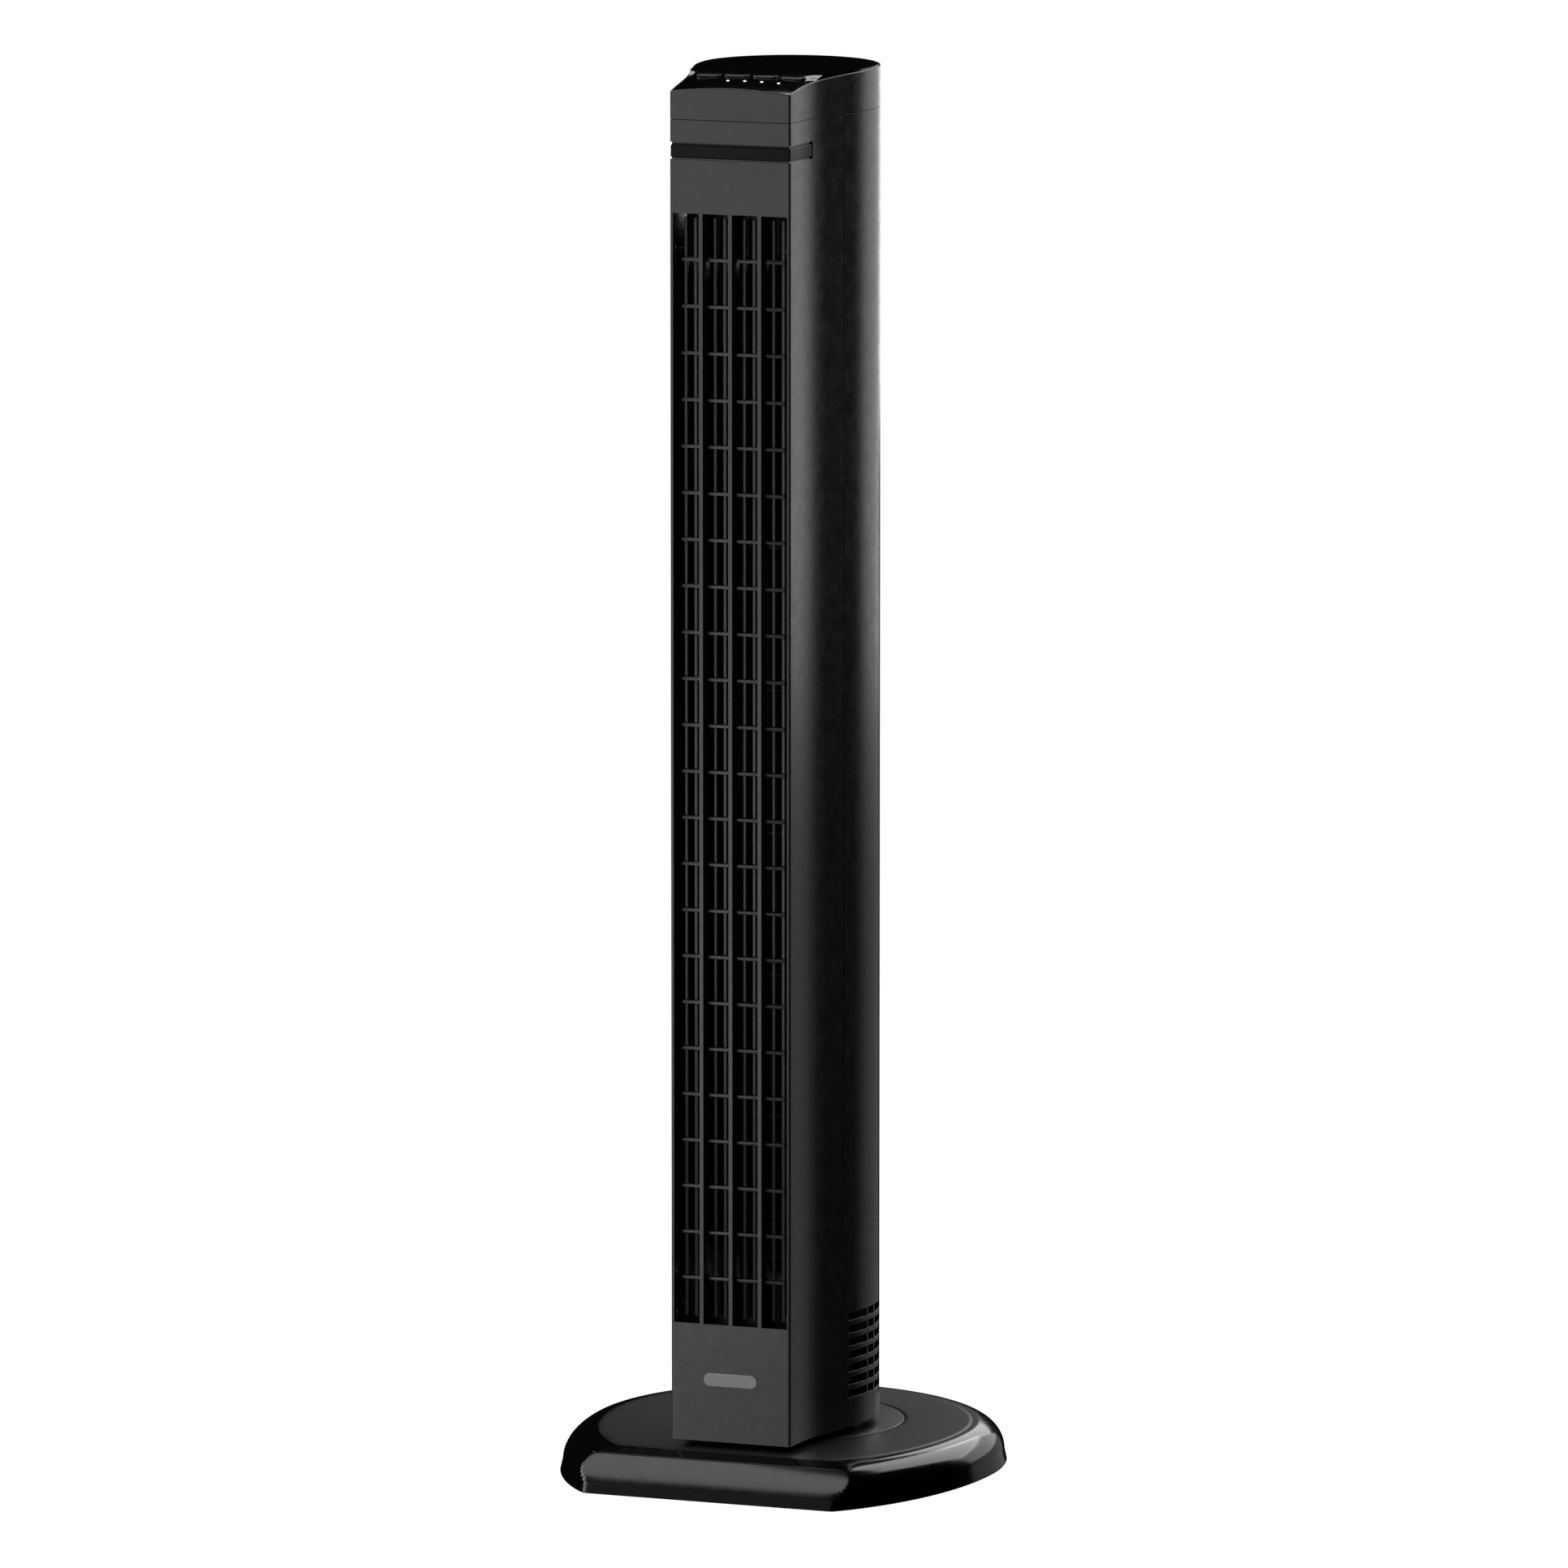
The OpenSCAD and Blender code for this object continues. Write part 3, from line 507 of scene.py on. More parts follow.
def shade(colour, factor):
    return tuple(min(1.0, c * factor) for c in colour)


def moulded(name, colour, rough, spread=0.05, grain_mm=0.5, grain_h=0.006, vary=0.12, ior=1.5, coat=0.0):
    """Moulded plastic: a fine grain, a slow drift of tone and uneven gloss."""
    material, tree, shader = new_material(name)
    tone = tint(tree, noise(tree, 60, 3), shade(colour, 1 - vary), shade(colour, 1 + vary))
    tree.links.new(tone, shader.inputs["Base Color"])
    tree.links.new(ramp(tree, noise(tree, 9, 4), rough - spread, rough + spread), shader.inputs["Roughness"])
    shader.inputs["IOR"].default_value = ior
    shader.inputs["Coat Weight"].default_value = coat
    shader.inputs["Coat Roughness"].default_value = 0.05
    bump(tree, shader, noise(tree, grain_mm, 2), grain_h)
    return material


def brushed(name, colour, rough, stretch=(1, 1, 0.04)):
    """Metal with fine drawn lines."""
    material, tree, shader = new_material(name)
    lines = noise(tree, 0.6, 3, stretch)
    tree.links.new(tint(tree, lines, shade(colour, 0.8), shade(colour, 1.15)), shader.inputs["Base Color"])
    tree.links.new(ramp(tree, lines, rough - 0.06, rough + 0.08), shader.inputs["Roughness"])
    shader.inputs["Metallic"].default_value = 1.0
    bump(tree, shader, lines, 0.01)
    return material


def wound(name, colour):
    """Enamelled wire, as close turns."""
    material, tree, shader = new_material(name)
    where = node(tree, "ShaderNodeTexCoord")
    turns = node(tree, "ShaderNodeTexWave", wave_type="BANDS", bands_direction="Z")
    turns.inputs["Scale"].default_value = 600.0
    turns.inputs["Distortion"].default_value = 0.6
    tree.links.new(where.outputs["Object"], turns.inputs["Vector"])
    tree.links.new(tint(tree, turns.outputs["Fac"], shade(colour, 0.5), colour), shader.inputs["Base Color"])
    shader.inputs["Roughness"].default_value = 0.3
    shader.inputs["Metallic"].default_value = 0.7
    bump(tree, shader, turns.outputs["Fac"], 0.1)
    return material


def lamp_lens(name, colour, glow):
    """A frosted lens with a lit lamp behind it."""
    material, tree, shader = new_material(name)
    speckle = noise(tree, 0.5, 2)
    lit = tint(tree, speckle, shade(colour, 0.9), colour)
    tree.links.new(lit, shader.inputs["Base Color"])
    tree.links.new(lit, shader.inputs["Emission Color"])
    shader.inputs["Emission Strength"].default_value = glow
    tree.links.new(ramp(tree, speckle, 0.2, 0.35), shader.inputs["Roughness"])
    bump(tree, shader, speckle, 0.01)
    return material


MATERIALS = {
    "gloss_black": moulded("gloss_black", (0.002, 0.002, 0.0022), 0.1, 0.03, 1.2, 0.001, 0.2),
    "button_black": moulded("button_black", (0.005, 0.005, 0.0055), 0.16, 0.04, 0.8, 0.002, 0.2),
    "base_satin": moulded("base_satin", (0.03, 0.03, 0.031), 0.34, 0.04, 0.45, 0.006),
    "tower_satin": moulded("tower_satin", (0.05, 0.05, 0.0515), 0.26, 0.04, 0.45, 0.006),
    "grille_satin": moulded("grille_satin", (0.07, 0.07, 0.072), 0.3, 0.04, 0.45, 0.006),
    "inner_plastic": moulded("inner_plastic", (0.014, 0.014, 0.015), 0.5, 0.06, 0.7, 0.01),
    "rubber": moulded("rubber", (0.02, 0.02, 0.02), 0.75, 0.08, 0.6, 0.03),
    "steel": brushed("steel", (0.55, 0.56, 0.58), 0.3),
    "plated_steel": brushed("plated_steel", (0.5, 0.5, 0.49), 0.38, (1, 0.06, 1)),
    "white_resin": moulded("white_resin", (0.72, 0.71, 0.66), 0.45, 0.05, 0.9, 0.01, 0.04),
    "bronze": brushed("bronze", (0.55, 0.36, 0.16), 0.4, (1, 1, 1)),
    "winding": wound("winding", (0.45, 0.17, 0.06)),
    "circuit_board": moulded("circuit_board", (0.02, 0.13, 0.05), 0.35, 0.05, 1.5, 0.02, 0.25),
    "badge_grey": moulded("badge_grey", (0.45, 0.45, 0.46), 0.32, 0.05, 0.4, 0.004, 0.05),
    "lamp_white": lamp_lens("lamp_white", (0.9, 0.95, 1.0), 1.6),
    "capacitor": moulded("capacitor", (0.05, 0.05, 0.06), 0.35, 0.05, 1.0, 0.01),
    "base_rim": moulded("base_rim", (0.003, 0.003, 0.0033), 0.13, 0.02, 0.8, 0.002, 0.15),
    "strip_black": moulded("strip_black", (0.01, 0.01, 0.0105), 0.28, 0.03, 0.8, 0.002, 0.15, 1.2),
}

for part in frame["record"]["subparts"]:
    cad = frame["nodes"][part["node"]]
    cad.data.materials.clear()
    cad.data.materials.append(MATERIALS[part["material_slot"]])


# ---------- base ----------


def base_half(name, front):
    """The shiny rim of the base: a skirt, a rounded shoulder, a ledge and the seat of the flat top."""
    skin = 2.6
    round_in = 5
    directions = base_directions()
    heights = [FOOT_H + 0.4, 3, 5.5, FRONT_SKIRT_Z, SKIRT_H]
    turned = [SKIRT_H + (PLATEAU_Z - SKIRT_H) * math.sin(math.radians(6 * i)) for i in range(1, 15)]
    heights += [z for z in turned if z < LEDGE_Z - 0.4] + [LEDGE_Z - 0.3, LEDGE_Z, LEDGE_Z + 0.3]
    heights += [z for z in turned if z > LEDGE_Z + 0.4]
    rings = [[base_point(a, FOOT_H, 0.4) for a in directions]]
    rings += [[base_point(a, z) for a in directions] for z in heights]
    rings += [[base_point(a, PLATEAU_Z, 0.3) for a in directions]]
    seat = PLATEAU_Z - PANEL_T - 0.05
    lip = GROOVE - 0.2
    for inset, z in ((lip, PLATEAU_Z), (lip, seat), (round_in, seat), (round_in, seat - skin)):
        rings.append([(*base_point(a, PLATEAU_Z, inset)[:2], z) for a in directions])
    for z in (24, 20, 14, SKIRT_H):
        rings.append([(*base_point(a, z, skin)[:2], z - 1.6) for a in directions])
    rings.append([base_point(a, FOOT_H, skin) for a in directions])
    bm = bmesh.new()
    ring_stack(bm, rings)
    keep_half(bm, front)
    web = bmesh.new()
    inner = [(80 * math.cos(a), 80 * math.sin(a)) for a in directions]
    outer = [base_point(a, PLATEAU_Z, 4.6)[:2] for a in directions]
    shell(web, [[(*p, seat), (*q, seat)] for p, q in zip(inner, outer)],
          [[(*p, seat - skin), (*q, seat - skin)] for p, q in zip(inner, outer)], closed=True)
    well = TURNTABLE_R + 0.9
    lathe(web, [(80, 19), (80, seat), (well, seat), (well, 21.6), (POST_R, 21.6), (POST_R, 19)])
    keep_half(web, front)
    join(bm, web)
    for x, y in SCREW_POSTS:
        if (y < 0) == front:
            lathe(bm, [(8, 2), (8, seat - 2.1), (3, seat - 2.1), (3, 2)], (x, y), 32)
    for side in (-1, 1):
        y0, y1 = (-9, -PARTING) if front else (PARTING, 9)
        box(bm, (side * SEAM_SCREW_X - 7, y0, 8), (side * SEAM_SCREW_X + 7, y1, 23.6), 0.4)
    publish(name, bm, "base", "gloss_black", "base_rim", sharp=9.5)


def plateau_half(name, front):
    """One half of the satin flat top, from the turntable out to the groove, with eased edges."""
    directions = base_directions()
    ease = 0.45
    steps = 14
    hole = TURNTABLE_R + 0.5

    def line(a, z, inset):
        outer = base_point(a, PLATEAU_Z, GROOVE)
        length = math.hypot(outer[0], outer[1])
        far = length - inset
        way = (outer[0] / length, outer[1] / length)
        reach = [hole + inset + (far - hole - inset) * i / steps for i in range(steps + 1)]
        return [(way[0] * r, way[1] * r, z) for r in reach]

    top = []
    under = []
    for a in directions:
        flat = line(a, PLATEAU_Z, ease)
        edge = line(a, PLATEAU_Z - ease, 0)
        middle = line(a, PLATEAU_Z - 0.13, 0.13)
        top.append([edge[0], middle[0]] + flat + [middle[-1], edge[-1]])
        low = line(a, PLATEAU_Z - PANEL_T, 0)
        under.append([low[0], low[0]] + low + [low[-1], low[-1]])
    bm = bmesh.new()
    shell(bm, top, under, closed=True)
    keep_half(bm, front)
    publish(name, bm, "base", "base_satin", sharp=50)


def turntable():
    """The disc that turns with the tower, flush with the flat top."""
    r = TURNTABLE_R
    low = PLATEAU_Z - 2.5
    bm = bmesh.new()
    profile = [(POST_R + 0.05, low), (r, low), (r, PLATEAU_Z - 0.6)]
    profile += fillet(r - 0.6, PLATEAU_Z - 0.6, 0.6, 0, 90)[1:]
    profile += [(POST_R + 0.05, PLATEAU_Z)]
    lathe(bm, profile)
    publish("turntable_disc", bm, "tower", "base_satin", sharp=50)


def neck():
    """The short collar between the disc and the tower."""
    bm = bmesh.new()
    profile = [(POST_R + 1, PLATEAU_Z), (NECK_R, PLATEAU_Z)]
    profile += fillet(NECK_R - 0.5, TOWER_Z - 0.5, 0.5, 0, 90) + [(POST_R + 1, TOWER_Z)]
    lathe(bm, profile)
    publish("neck", bm, "tower", "gloss_black", sharp=50)


# ---------- tower housing ----------


def front_housing():
    """Front shell: side walls with the strip's channel, and the outlet window with its three fins."""
    channel = (STRIP_Z[0] - 0.8, STRIP_Z[1] + 0.8)
    channel_y = STRIP_Y + 0.4
    depth = 1.2
    beside = right_side(-FRONT_Y, channel_y)
    behind = right_side(channel_y, PART_Y - PARTING)
    cuts = [-WINDOW_W / 2] + [x + s * FIN_W / 2 for x in FIN_X for s in (-1, 1)] + [WINDOW_W / 2]
    front = left_side(beside) + [(x, -FRONT_Y) for x in cuts] + beside
    stations = left_side(behind) + front + behind
    ahead = range(len(behind), len(behind) + len(front))
    rows = [TOWER_Z, 70, WINDOW_Z[0], 300, 500, 700, WINDOW_Z[1],
            channel[0], channel[0], channel[1], channel[1], SEAM_Z - SEAM_GAP]
    deep = (8, 9)

    def solid(i, j):
        if j not in range(2, 6) or max(stations[i][1], stations[i + 1][1]) > 0.01 - FRONT_Y:
            return True
        middle = (stations[i][0] + stations[i + 1][0]) / 2
        return abs(middle) > WINDOW_W / 2 or any(abs(middle - x) < FIN_W / 2 for x in FIN_X)

    outer = [[(*moved_in(x, y, depth if i in ahead and j in deep else 0), z) for j, z in enumerate(rows)]
             for i, (x, y) in enumerate(stations)]
    inner = [[(*moved_in(x, y, WALL), z) for z in rows] for x, y in stations]
    bm = bmesh.new()
    shell(bm, outer, inner, solid)
    publish("front_housing", bm, "tower", "tower_satin", bevel=0.35)


VENT_Z = 53
VENT_PITCH = 8.8
VENT_H = 5.2
VENTS = 7
VENT_Y = -41
RIB_W = 2.2
RIB_TURN = 1.04
FIRST_RIB_A = 10.7
VENT_A = 24.3
INTAKE_A = 26
INTAKE_Z = (132, 848)


def rear_housing():
    """Rear shell with the rows of lower vents and the tall opening for the intake grille."""
    half_rib = RIB_W / 2
    ribs = (-FIRST_RIB_A, 0, 20, 160, 180, 180 + FIRST_RIB_A)
    turn = math.degrees(math.asin(half_rib / BACK_R))
    marks = {round(a + side * turn, 3) for a in ribs for side in (-1, 1)}
    marks.update((VENT_A, 180 - VENT_A, INTAKE_A, 180 - INTAKE_A))
    fine = [2.5 * i for i in range(73)]
    angles = sorted(marks | {a for a in fine if all(abs(a - m) > 1.2 for m in marks)})
    turned = [a for a in angles if 0 <= a <= 180]
    rear = PART_Y + PARTING
    first_rib = [BACK_Y + (BACK_R - 1) * math.sin(math.radians(a))
                 for a in (-FIRST_RIB_A - RIB_TURN, -FIRST_RIB_A + RIB_TURN)]
    zero_rib = -half_rib + BACK_Y
    between = (-44, -37, -33, -29, -25, -21, -13, -10)
    flank = sorted({rear, VENT_Y, *[round(y, 3) for y in first_rib], zero_rib, *between})
    stations = [(half_w(y), y, ("flank", y)) for y in flank]
    stations += [(BACK_R * math.cos(a), BACK_Y + BACK_R * math.sin(a), ("round", degrees))
                 for degrees, a in [(d, math.radians(d)) for d in turned]]
    stations += [(-half_w(y), y, ("flank", y)) for y in reversed(flank)]
    rows = [TOWER_Z + 0.4, 43]
    for i in range(VENTS):
        rows += [VENT_Z + i * VENT_PITCH, VENT_Z + i * VENT_PITCH + VENT_H]
    rows += [INTAKE_Z[0], 300, 500, 700, INTAKE_Z[1], SEAM_Z - SEAM_GAP]
    rows.sort()
    vent_rows = {rows.index(VENT_Z + i * VENT_PITCH) for i in range(VENTS)}
    intake_rows = range(rows.index(INTAKE_Z[0]), rows.index(INTAKE_Z[1]))

    def inset(x, y, key):
        if key[0] == "round":
            a = math.radians(key[1])
            return ((BACK_R - WALL) * math.cos(a), BACK_Y + (BACK_R - WALL) * math.sin(a))
        return (math.copysign(half_w(y, WALL), x), y)

    def solid(i, j):
        kinds = (stations[i][2], stations[i + 1][2])
        if j in intake_rows:
            if all(k[0] == "round" for k in kinds):
                return not (kinds[0][1] >= INTAKE_A - 0.01 and kinds[1][1] <= 180 - INTAKE_A + 0.01)
            return True
        if j not in vent_rows:
            return True
        if all(k[0] == "round" for k in kinds):
            middle = (kinds[0][1] + kinds[1][1]) / 2
            return VENT_A < middle < 180 - VENT_A or any(abs(middle - a) < RIB_TURN for a in ribs)
        ys = [s[1] for s in (stations[i], stations[i + 1])]
        middle = sum(ys) / 2
        if middle < VENT_Y:
            return True
        return first_rib[0] < middle < first_rib[1] or middle > zero_rib

    bm = bmesh.new()
    shell(bm, [[(x, y, z) for z in rows] for x, y, _ in stations],
          [[(*inset(x, y, key), z) for z in rows] for x, y, key in stations], solid)
    publish("rear_housing", bm, "tower", "tower_satin", bevel=0.3)


def outlet_grille():
    """The fins behind the front face, the thin uprights and the short cross bars."""
    bm = bmesh.new()
    first = -(BARS - 1) / 2 * BAR_PITCH
    ease = 0.35
    for x in FIN_X:
        box(bm, (x - FIN_W / 2, -FRONT_Y + WALL, WINDOW_Z[0] - 4),
            (x + FIN_W / 2, -FRONT_Y + FIN_DEPTH, WINDOW_Z[1] + 4), ease)
    for i in range(BARS):
        if i % 3 != 2:
            x = first + i * BAR_PITCH
            box(bm, (x - BAR_W / 2, -FRONT_Y + BAR_DEPTH, WINDOW_Z[0] + 3.5),
                (x + BAR_W / 2, -FRONT_Y + BAR_DEPTH + 3, WINDOW_Z[1] - 3.3), ease)
    half = -first + BAR_W / 2 + 0.8
    for i in range(CROSS_BARS):
        z = CROSS_Z + i * CROSS_PITCH
        box(bm, (-half, -FRONT_Y + CROSS_DEPTH, z - BAR_W / 2),
            (half, -FRONT_Y + BAR_DEPTH + 0.6, z + BAR_W / 2), ease)
    publish("outlet_grille", bm, "tower", "grille_satin")


def trim_strip():
    """The dark band let into the top of the housing, between two fine grooves."""
    right = right_side(-FRONT_Y, STRIP_Y)
    outline = left_side(right) + right
    face, groove, back = 0.3, 1.1, 1.2
    z0, z1 = STRIP_Z
    rows = ((z0, groove), (z0 + 0.5, groove), (z0 + 0.6, 0.6), (z0 + 0.9, face), (z1 - 1.6, face),
            (z1 - 1.2, 0.65), (z1 - 1.1, groove), (z1, groove))
    bm = bmesh.new()
    shell(bm, [[(*moved_in(x, y, d), z) for z, d in rows] for x, y in outline],
          [[(*moved_in(x, y, back), z) for z, d in rows] for x, y in outline])
    publish("trim_strip", bm, "tower", "gloss_black", "strip_black", sharp=20)


# ---------- cap and controls ----------


def top_cap():
    """The cap's wall up to the rim, above the sweeping edge of the rear panel."""
    right = right_side(-FRONT_Y, PART_Y) + right_side(PART_Y, BACK_Y + BACK_R)[1:]
    bow = [(CORNER_X * i / 10, -FRONT_Y) for i in range(-9, 10)]
    outline = left_side(right) + bow + right[:-1]
    low = SEAM_Z + SEAM_GAP
    shoulder = cap_edge(PART_Y)
    round_off = 0.7
    outer = []
    inner = []
    for x, y in outline:
        behind = y > PART_Y + 0.01
        bottom = cap_edge(y) if behind else low
        second = bottom if behind else shoulder
        rim = rim_at(x, y)
        thick = min(round_off, (rim - second) * 0.45)
        rows = ((bottom, 0), (second, 0), ((second + rim) / 2, 0), (rim - thick - 0.2, 0),
                (rim - thick, 0), (rim - thick * 0.3, thick * 0.3), (rim, thick))
        outer.append([(*moved_in(x, y, d), z) for z, d in rows])
        inner.append([(*moved_in(x, y, CAP_WALL), z) for z, d in rows])

    def solid(i, j):
        middle = (outline[i][1] + outline[(i + 1) % len(outline)][1]) / 2
        return j > 0 or middle < PART_Y

    bm = bmesh.new()
    shell(bm, outer, inner, solid, closed=True)
    publish("top_cap", bm, "tower", "tower_satin", sharp=50)


def rear_cap_panel():
    """Rear part of the cap's wall, whose upper edge sweeps up from the parting line."""
    gap = 0.15
    ease = 0.3
    right = right_side(PART_Y + gap, BACK_Y + BACK_R, 2.0)
    outline = right + left_side(right[:-1])
    low = SEAM_Z + SEAM_GAP
    outer = []
    inner = []
    for x, y in outline:
        edge = cap_edge(y) - gap
        rows = ((low, 0), ((low + edge) / 2, 0), (edge - ease - 0.2, 0), (edge - ease, 0), (edge, ease))
        outer.append([(*moved_in(x, y, d), z) for z, d in rows])
        inner.append([(*moved_in(x, y, CAP_WALL), z) for z, d in rows])
    bm = bmesh.new()
    shell(bm, outer, inner)
    publish("rear_cap_panel", bm, "tower", "tower_satin", sharp=50)


def deck_frame(x, y):
    """Origin and axes of a control set into the deck."""
    origin = Vector((x, y, deck_at(x, y)))
    across = Vector((1, 0, 0))
    along = Vector((0, math.cos(DECK_TILT), math.sin(DECK_TILT)))
    return origin, across, along, across.cross(along)


def in_deck(x, y, points):
    """Local (across, along, up) points of a control, put in their place in the deck."""
    origin, across, along, up = deck_frame(x, y)
    return [tuple(origin + across * p[0] + along * p[1] + up * p[2]) for p in points]


def button_x(i):
    return (i - 1.5) * BUTTON_PITCH


def lamp_x(i):
    return LAMP_X + (i - 1.5) * LAMP_PITCH


def capped_stack(bm, rings):
    """A closed solid through rings, with a face on its first and last ring."""
    loops = [[bm.verts.new(place(*p)) for p in ring] for ring in rings]
    for i in range(len(loops) - 1):
        for j in range(len(loops[i])):
            k = (j + 1) % len(loops[i])
            bm.faces.new((loops[i][j], loops[i][k], loops[i + 1][k], loops[i + 1][j]))
    bm.faces.new(list(reversed(loops[0])))
    bm.faces.new(loops[-1])


def key_rings(i, w, d, profile):
    """Rings of key i, or of its hole, through (inset, height) points."""
    return [in_deck(button_x(i), BUTTON_Y, [(x, y, z) for x, y in stadium_points(w, d, inset)])
            for inset, z in profile]


def lamp_rings(i, profile):
    """Rings of lamp i, or of its hole, through (radius, height) points."""
    turns = [math.radians(15 * k) for k in range(24)]
    return [in_deck(lamp_x(i), LAMP_Y, [(r * math.cos(a), r * math.sin(a), z) for a in turns])
            for r, z in profile]


def deck_holes():
    """The holes for the buttons and lamps, as one closed cutter."""
    bm = bmesh.new()
    for i in range(BUTTONS):
        capped_stack(bm, key_rings(i, BUTTON_W + 0.7, BUTTON_D + 0.7, ((0, -20), (0, 20))))
        capped_stack(bm, lamp_rings(i, ((LAMP_HOLE_R, -20), (LAMP_HOLE_R, 20))))
    bmesh.ops.remove_doubles(bm, verts=bm.verts, dist=1e-6)
    bmesh.ops.recalc_face_normals(bm, faces=bm.faces)
    mesh = bpy.data.meshes.new("deck_holes")
    bm.to_mesh(mesh)
    bm.free()
    cutter = bpy.data.objects.new("deck_holes", mesh)
    bpy.context.scene.collection.objects.link(cutter)
    return cutter


def control_deck():
    """The glossy deck. Its shading follows the surface's own formula, so its reflections stay clean."""
    inset = CAP_WALL + 0.15
    rows = []
    y = -FRONT_Y + inset + 0.02
    while y < BACK_Y + BACK_R - inset - 0.4:
        rows.append(y)
        y += 1.5 if y < -50 else 3.0
    rows.append(BACK_Y + BACK_R - inset - 0.02)
    columns = 44
    top = [[(half_w(y, inset) * (2 * j / columns - 1), y) for j in range(columns + 1)] for y in rows]
    bm = bmesh.new()
    shell(bm, [[(x, y, deck_at(x, y)) for x, y in line] for line in top],
          [[(x, y, DECK_Z) for x, y in line] for line in top])
    piece = publish("control_deck", bm, "tower", "gloss_black")
    cutter = deck_holes()
    cut = piece.modifiers.new("holes", "BOOLEAN")
    cut.operation = "DIFFERENCE"
    cut.solver = "EXACT"
    cut.object = cutter
    bpy.context.view_layer.update()
    done = bpy.data.meshes.new_from_object(piece.evaluated_get(bpy.context.evaluated_depsgraph_get()))
    piece.modifiers.clear()
    piece.data = done
    bpy.data.objects.remove(cutter)
    done.materials.clear()
    done.materials.append(MATERIALS["gloss_black"])
    done.shade_smooth()
    set_deck_normals(done)


def set_deck_normals(mesh):
    """Gives the deck's upper faces the normals of the surface they stand for."""
    normals = [Vector(n.vector) for n in mesh.corner_normals]
    slope = 0.05
    for face in mesh.polygons:
        flat = face.normal
        for corner in face.loop_indices:
            x, y, z = mesh.vertices[mesh.loops[corner].vertex_index].co
            x, y, z = x / MM, (y - AXIS_Y) / MM, z / MM
            if flat.z > 0.5 and abs(z - deck_at(x, y)) < 0.05:
                dx = (deck_at(x + slope, y) - deck_at(x - slope, y)) / (2 * slope)
                dy = (deck_at(x, y + slope) - deck_at(x, y - slope)) / (2 * slope)
                normals[corner] = Vector((-dx, -dy, 1)).normalized()
            else:
                normals[corner] = flat.copy()
    mesh.normals_split_custom_set(normals)


def buttons():
    """Four keys with pillowed tops on stems that reach down to their switches."""
    edge = 0.45
    head = [(0.0, -7.5), (0.0, BUTTON_RISE - edge)]
    head += [(edge - x, z) for x, z in fillet(0, BUTTON_RISE - edge, edge, 0, 90)[1:]]
    head += [(edge + 0.5, BUTTON_RISE + 0.05), (edge + 1.2, BUTTON_RISE + 0.09),
             (BUTTON_D / 2 - 0.1, BUTTON_RISE + 0.1)]
    stem = [(1.0, -BUTTON_H + 0.5), (1.0, -7.4)]
    flange = [(0.0, -BUTTON_H), (0.0, -BUTTON_H + 1.5)]
    for i in range(BUTTONS):
        bm = bmesh.new()
        capped_stack(bm, key_rings(i, BUTTON_W, BUTTON_D, head))
        capped_stack(bm, key_rings(i, BUTTON_W - 0.6, BUTTON_D + 0.6, stem))
        capped_stack(bm, key_rings(i, BUTTON_W + 3, BUTTON_D + 1.2, flange))
        name = f"button_{i + 1}"
        publish(name, bm, name, "button_black", sharp=40)


def lamp_lenses():
    """Four small domed lenses in front of the keys."""
    bm = bmesh.new()
    profile = [(1.0, -8.0), (1.0, 0.0)]
    profile += [(math.cos(a), 0.45 * math.sin(a)) for a in [math.radians(18 * k) for k in range(1, 5)]]
    for i in range(BUTTONS):
        capped_stack(bm, lamp_rings(i, profile))
    publish("lamp_lenses", bm, "tower", "lamp_white", sharp=50)


def badge_plate():
    """A plain rounded plate low on the front face."""
    w, d, t, z = BADGE
    edge = 0.2
    profile = [(0.0, 0.0), (0.0, t - edge), (0.3 * edge, t - 0.3 * edge), (edge, t), (edge + 0.5, t)]
    bm = bmesh.new()
    capped_stack(bm, [[(x, -FRONT_Y - up, z + v) for x, v in stadium_points(w, d, inset, 20)]
                      for inset, up in profile])
    publish("badge_plate", bm, "tower", "badge_grey", sharp=40)


base_half("base_front", True)
base_half("base_rear", False)
plateau_half("plateau_front", True)
plateau_half("plateau_rear", False)
turntable()
neck()
front_housing()
rear_housing()
outlet_grille()
trim_strip()
top_cap()
rear_cap_panel()
control_deck()
buttons()
lamp_lenses()
badge_plate()

# ---------- floor, light and background ----------


def make_floor():
    """A wide pale floor that neither lights the fan nor shows in its gloss."""
    bm = bmesh.new()
    bmesh.ops.create_grid(bm, x_segments=8, y_segments=8, size=40)
    mesh = bpy.data.meshes.new("floor")
    bm.to_mesh(mesh)
    bm.free()
    floor = bpy.data.objects.new("floor", mesh)
    bpy.context.scene.collection.objects.link(floor)
    material, tree, shader = new_material("pale_floor")
    tone = tint(tree, noise(tree, 400, 2), (0.11, 0.11, 0.11), (0.13, 0.13, 0.13))
    tree.links.new(tone, shader.inputs["Base Color"])
    shader.inputs["Emission Color"].default_value = (1, 1, 1, 1)
    shader.inputs["Emission Strength"].default_value = 1.0
    shader.inputs["Roughness"].default_value = 0.9
    mesh.materials.append(material)
    floor.visible_glossy = False
    floor.visible_diffuse = False
    floor.visible_shadow = False


def soft_panel(name, centre, width, height, strength, aim=None):
    """A soft panel with its middle at one point, facing another point, or else straight down."""
    data = bpy.data.lights.new(name, "AREA")
    data.shape = "RECTANGLE"
    data.size = width
    data.size_y = height
    data.energy = strength * width * height * math.pi
    lamp = bpy.data.objects.new(name, data)
    bpy.context.scene.collection.objects.link(lamp)
    lamp.location = centre
    if aim:
        lamp.rotation_euler = (aim - centre).to_track_quat("-Z", "Y").to_euler()
    lamp.visible_camera = False


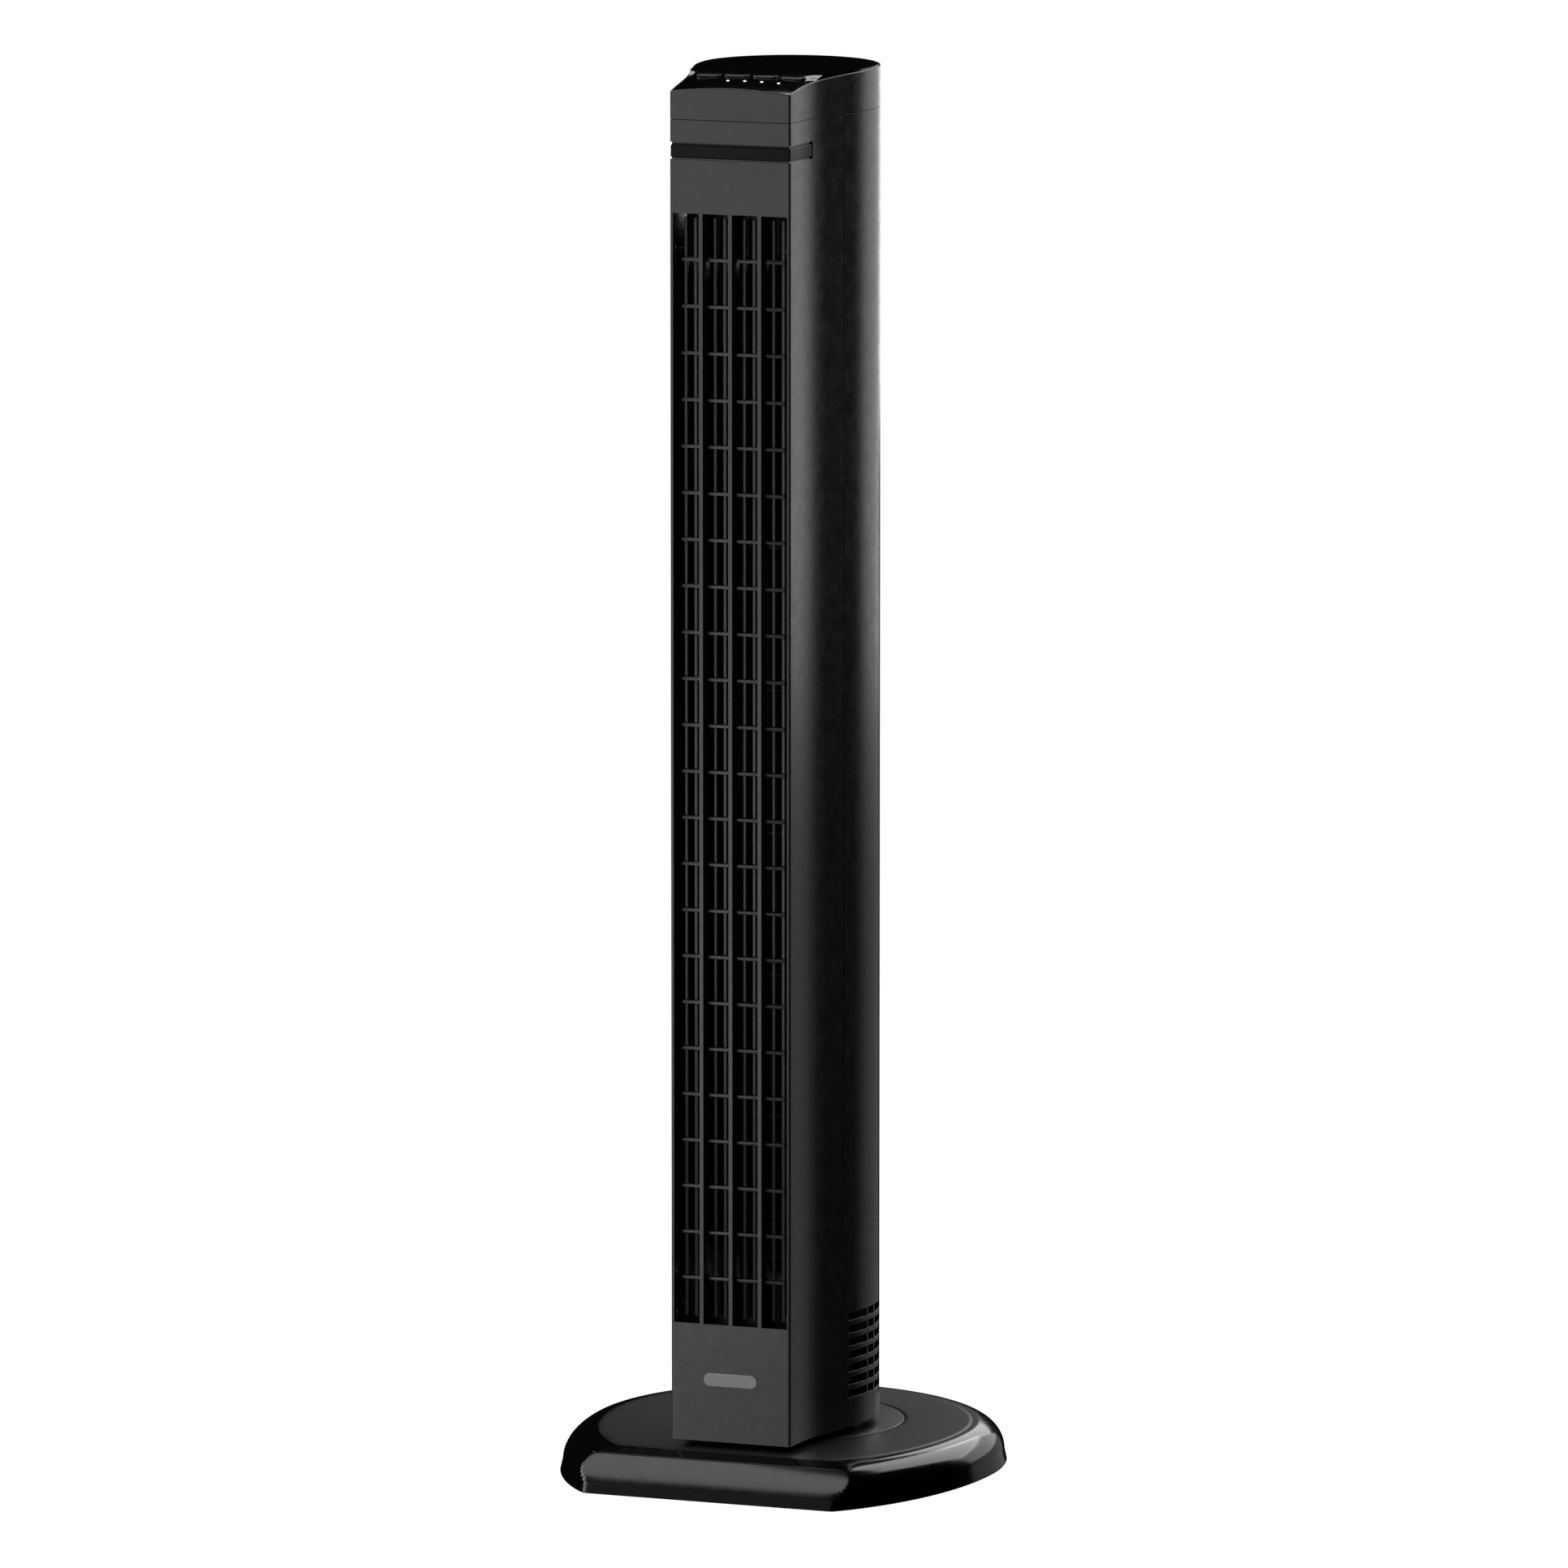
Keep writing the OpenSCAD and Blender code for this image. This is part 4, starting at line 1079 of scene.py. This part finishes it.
def soft_light(name, azimuth, distance, low, high, width, strength, tilt_to=0.45):
    """A soft panel that stands upright round the fan and faces its axis."""
    away = direction(math.radians(azimuth), 0)
    centre = away * distance + Vector((0, AXIS_Y, (low + high) / 2))
    soft_panel(name, centre, width, high - low, strength, Vector((0, AXIS_Y, tilt_to)))


def make_world():
    """White behind the fan, and almost no light from it on the fan."""
    world = bpy.data.worlds.new("studio")
    bpy.context.scene.world = world
    world.use_nodes = True
    tree = world.node_tree
    tree.nodes.clear()
    seen = node(tree, "ShaderNodeBackground")
    seen.inputs["Color"].default_value = (1, 1, 1, 1)
    lit = node(tree, "ShaderNodeBackground")
    lit.inputs["Color"].default_value = (0.0015, 0.0015, 0.0015, 1)
    path = node(tree, "ShaderNodeLightPath")
    mix = node(tree, "ShaderNodeMixShader")
    output = node(tree, "ShaderNodeOutputWorld")
    tree.links.new(path.outputs["Is Camera Ray"], mix.inputs["Fac"])
    tree.links.new(lit.outputs["Background"], mix.inputs[1])
    tree.links.new(seen.outputs["Background"], mix.inputs[2])
    tree.links.new(mix.outputs["Shader"], output.inputs["Surface"])


make_world()
make_floor()
# name, azimuth, distance, lower edge, upper edge, width, strength, height aimed at
for light in (
        ("right_rear", 158, 2.0, 0.24, 0.95, 1.35, 1.2, 0.6),
        ("right_rear_low", 158, 2.0, -0.6, 0.24, 1.35, 0.25, -0.2),
        ("right_rear_high", 161, 2.0, 0.95, 2.6, 1.5, 2.7, 1.0),
        ("rear", 184, 2.0, 0.45, 1.3, 0.6, 2.0, 0.6),
        ("front", -20, 2.4, -0.3, 1.5, 1.2, 1.2),
        ("front_low", -32, 2.4, -0.6, 0.2, 1.2, 1.4),
        ("front_high", -29, 2.0, 1.8, 2.6, 1.2, 0.2),
        ("front_left", -70, 2.4, 0.9, 2.9, 2.4, 3.2),
        ("behind", 198, 3.0, 0.38, 1.0, 0.5, 0.2, 0.4)):
    soft_light(*light)
soft_panel("over_left", Vector((-0.9, -0.1, 2.5)), 1.3, 0.7, 2.0)
soft_panel("over_rear", Vector((-0.37, 0.75, 1.7)), 0.7, 0.26, 2.8, Vector((0, -0.07, 0.945)))

bpy.context.scene.view_settings.view_transform = "Standard"
bpy.context.scene.view_settings.look = "None"
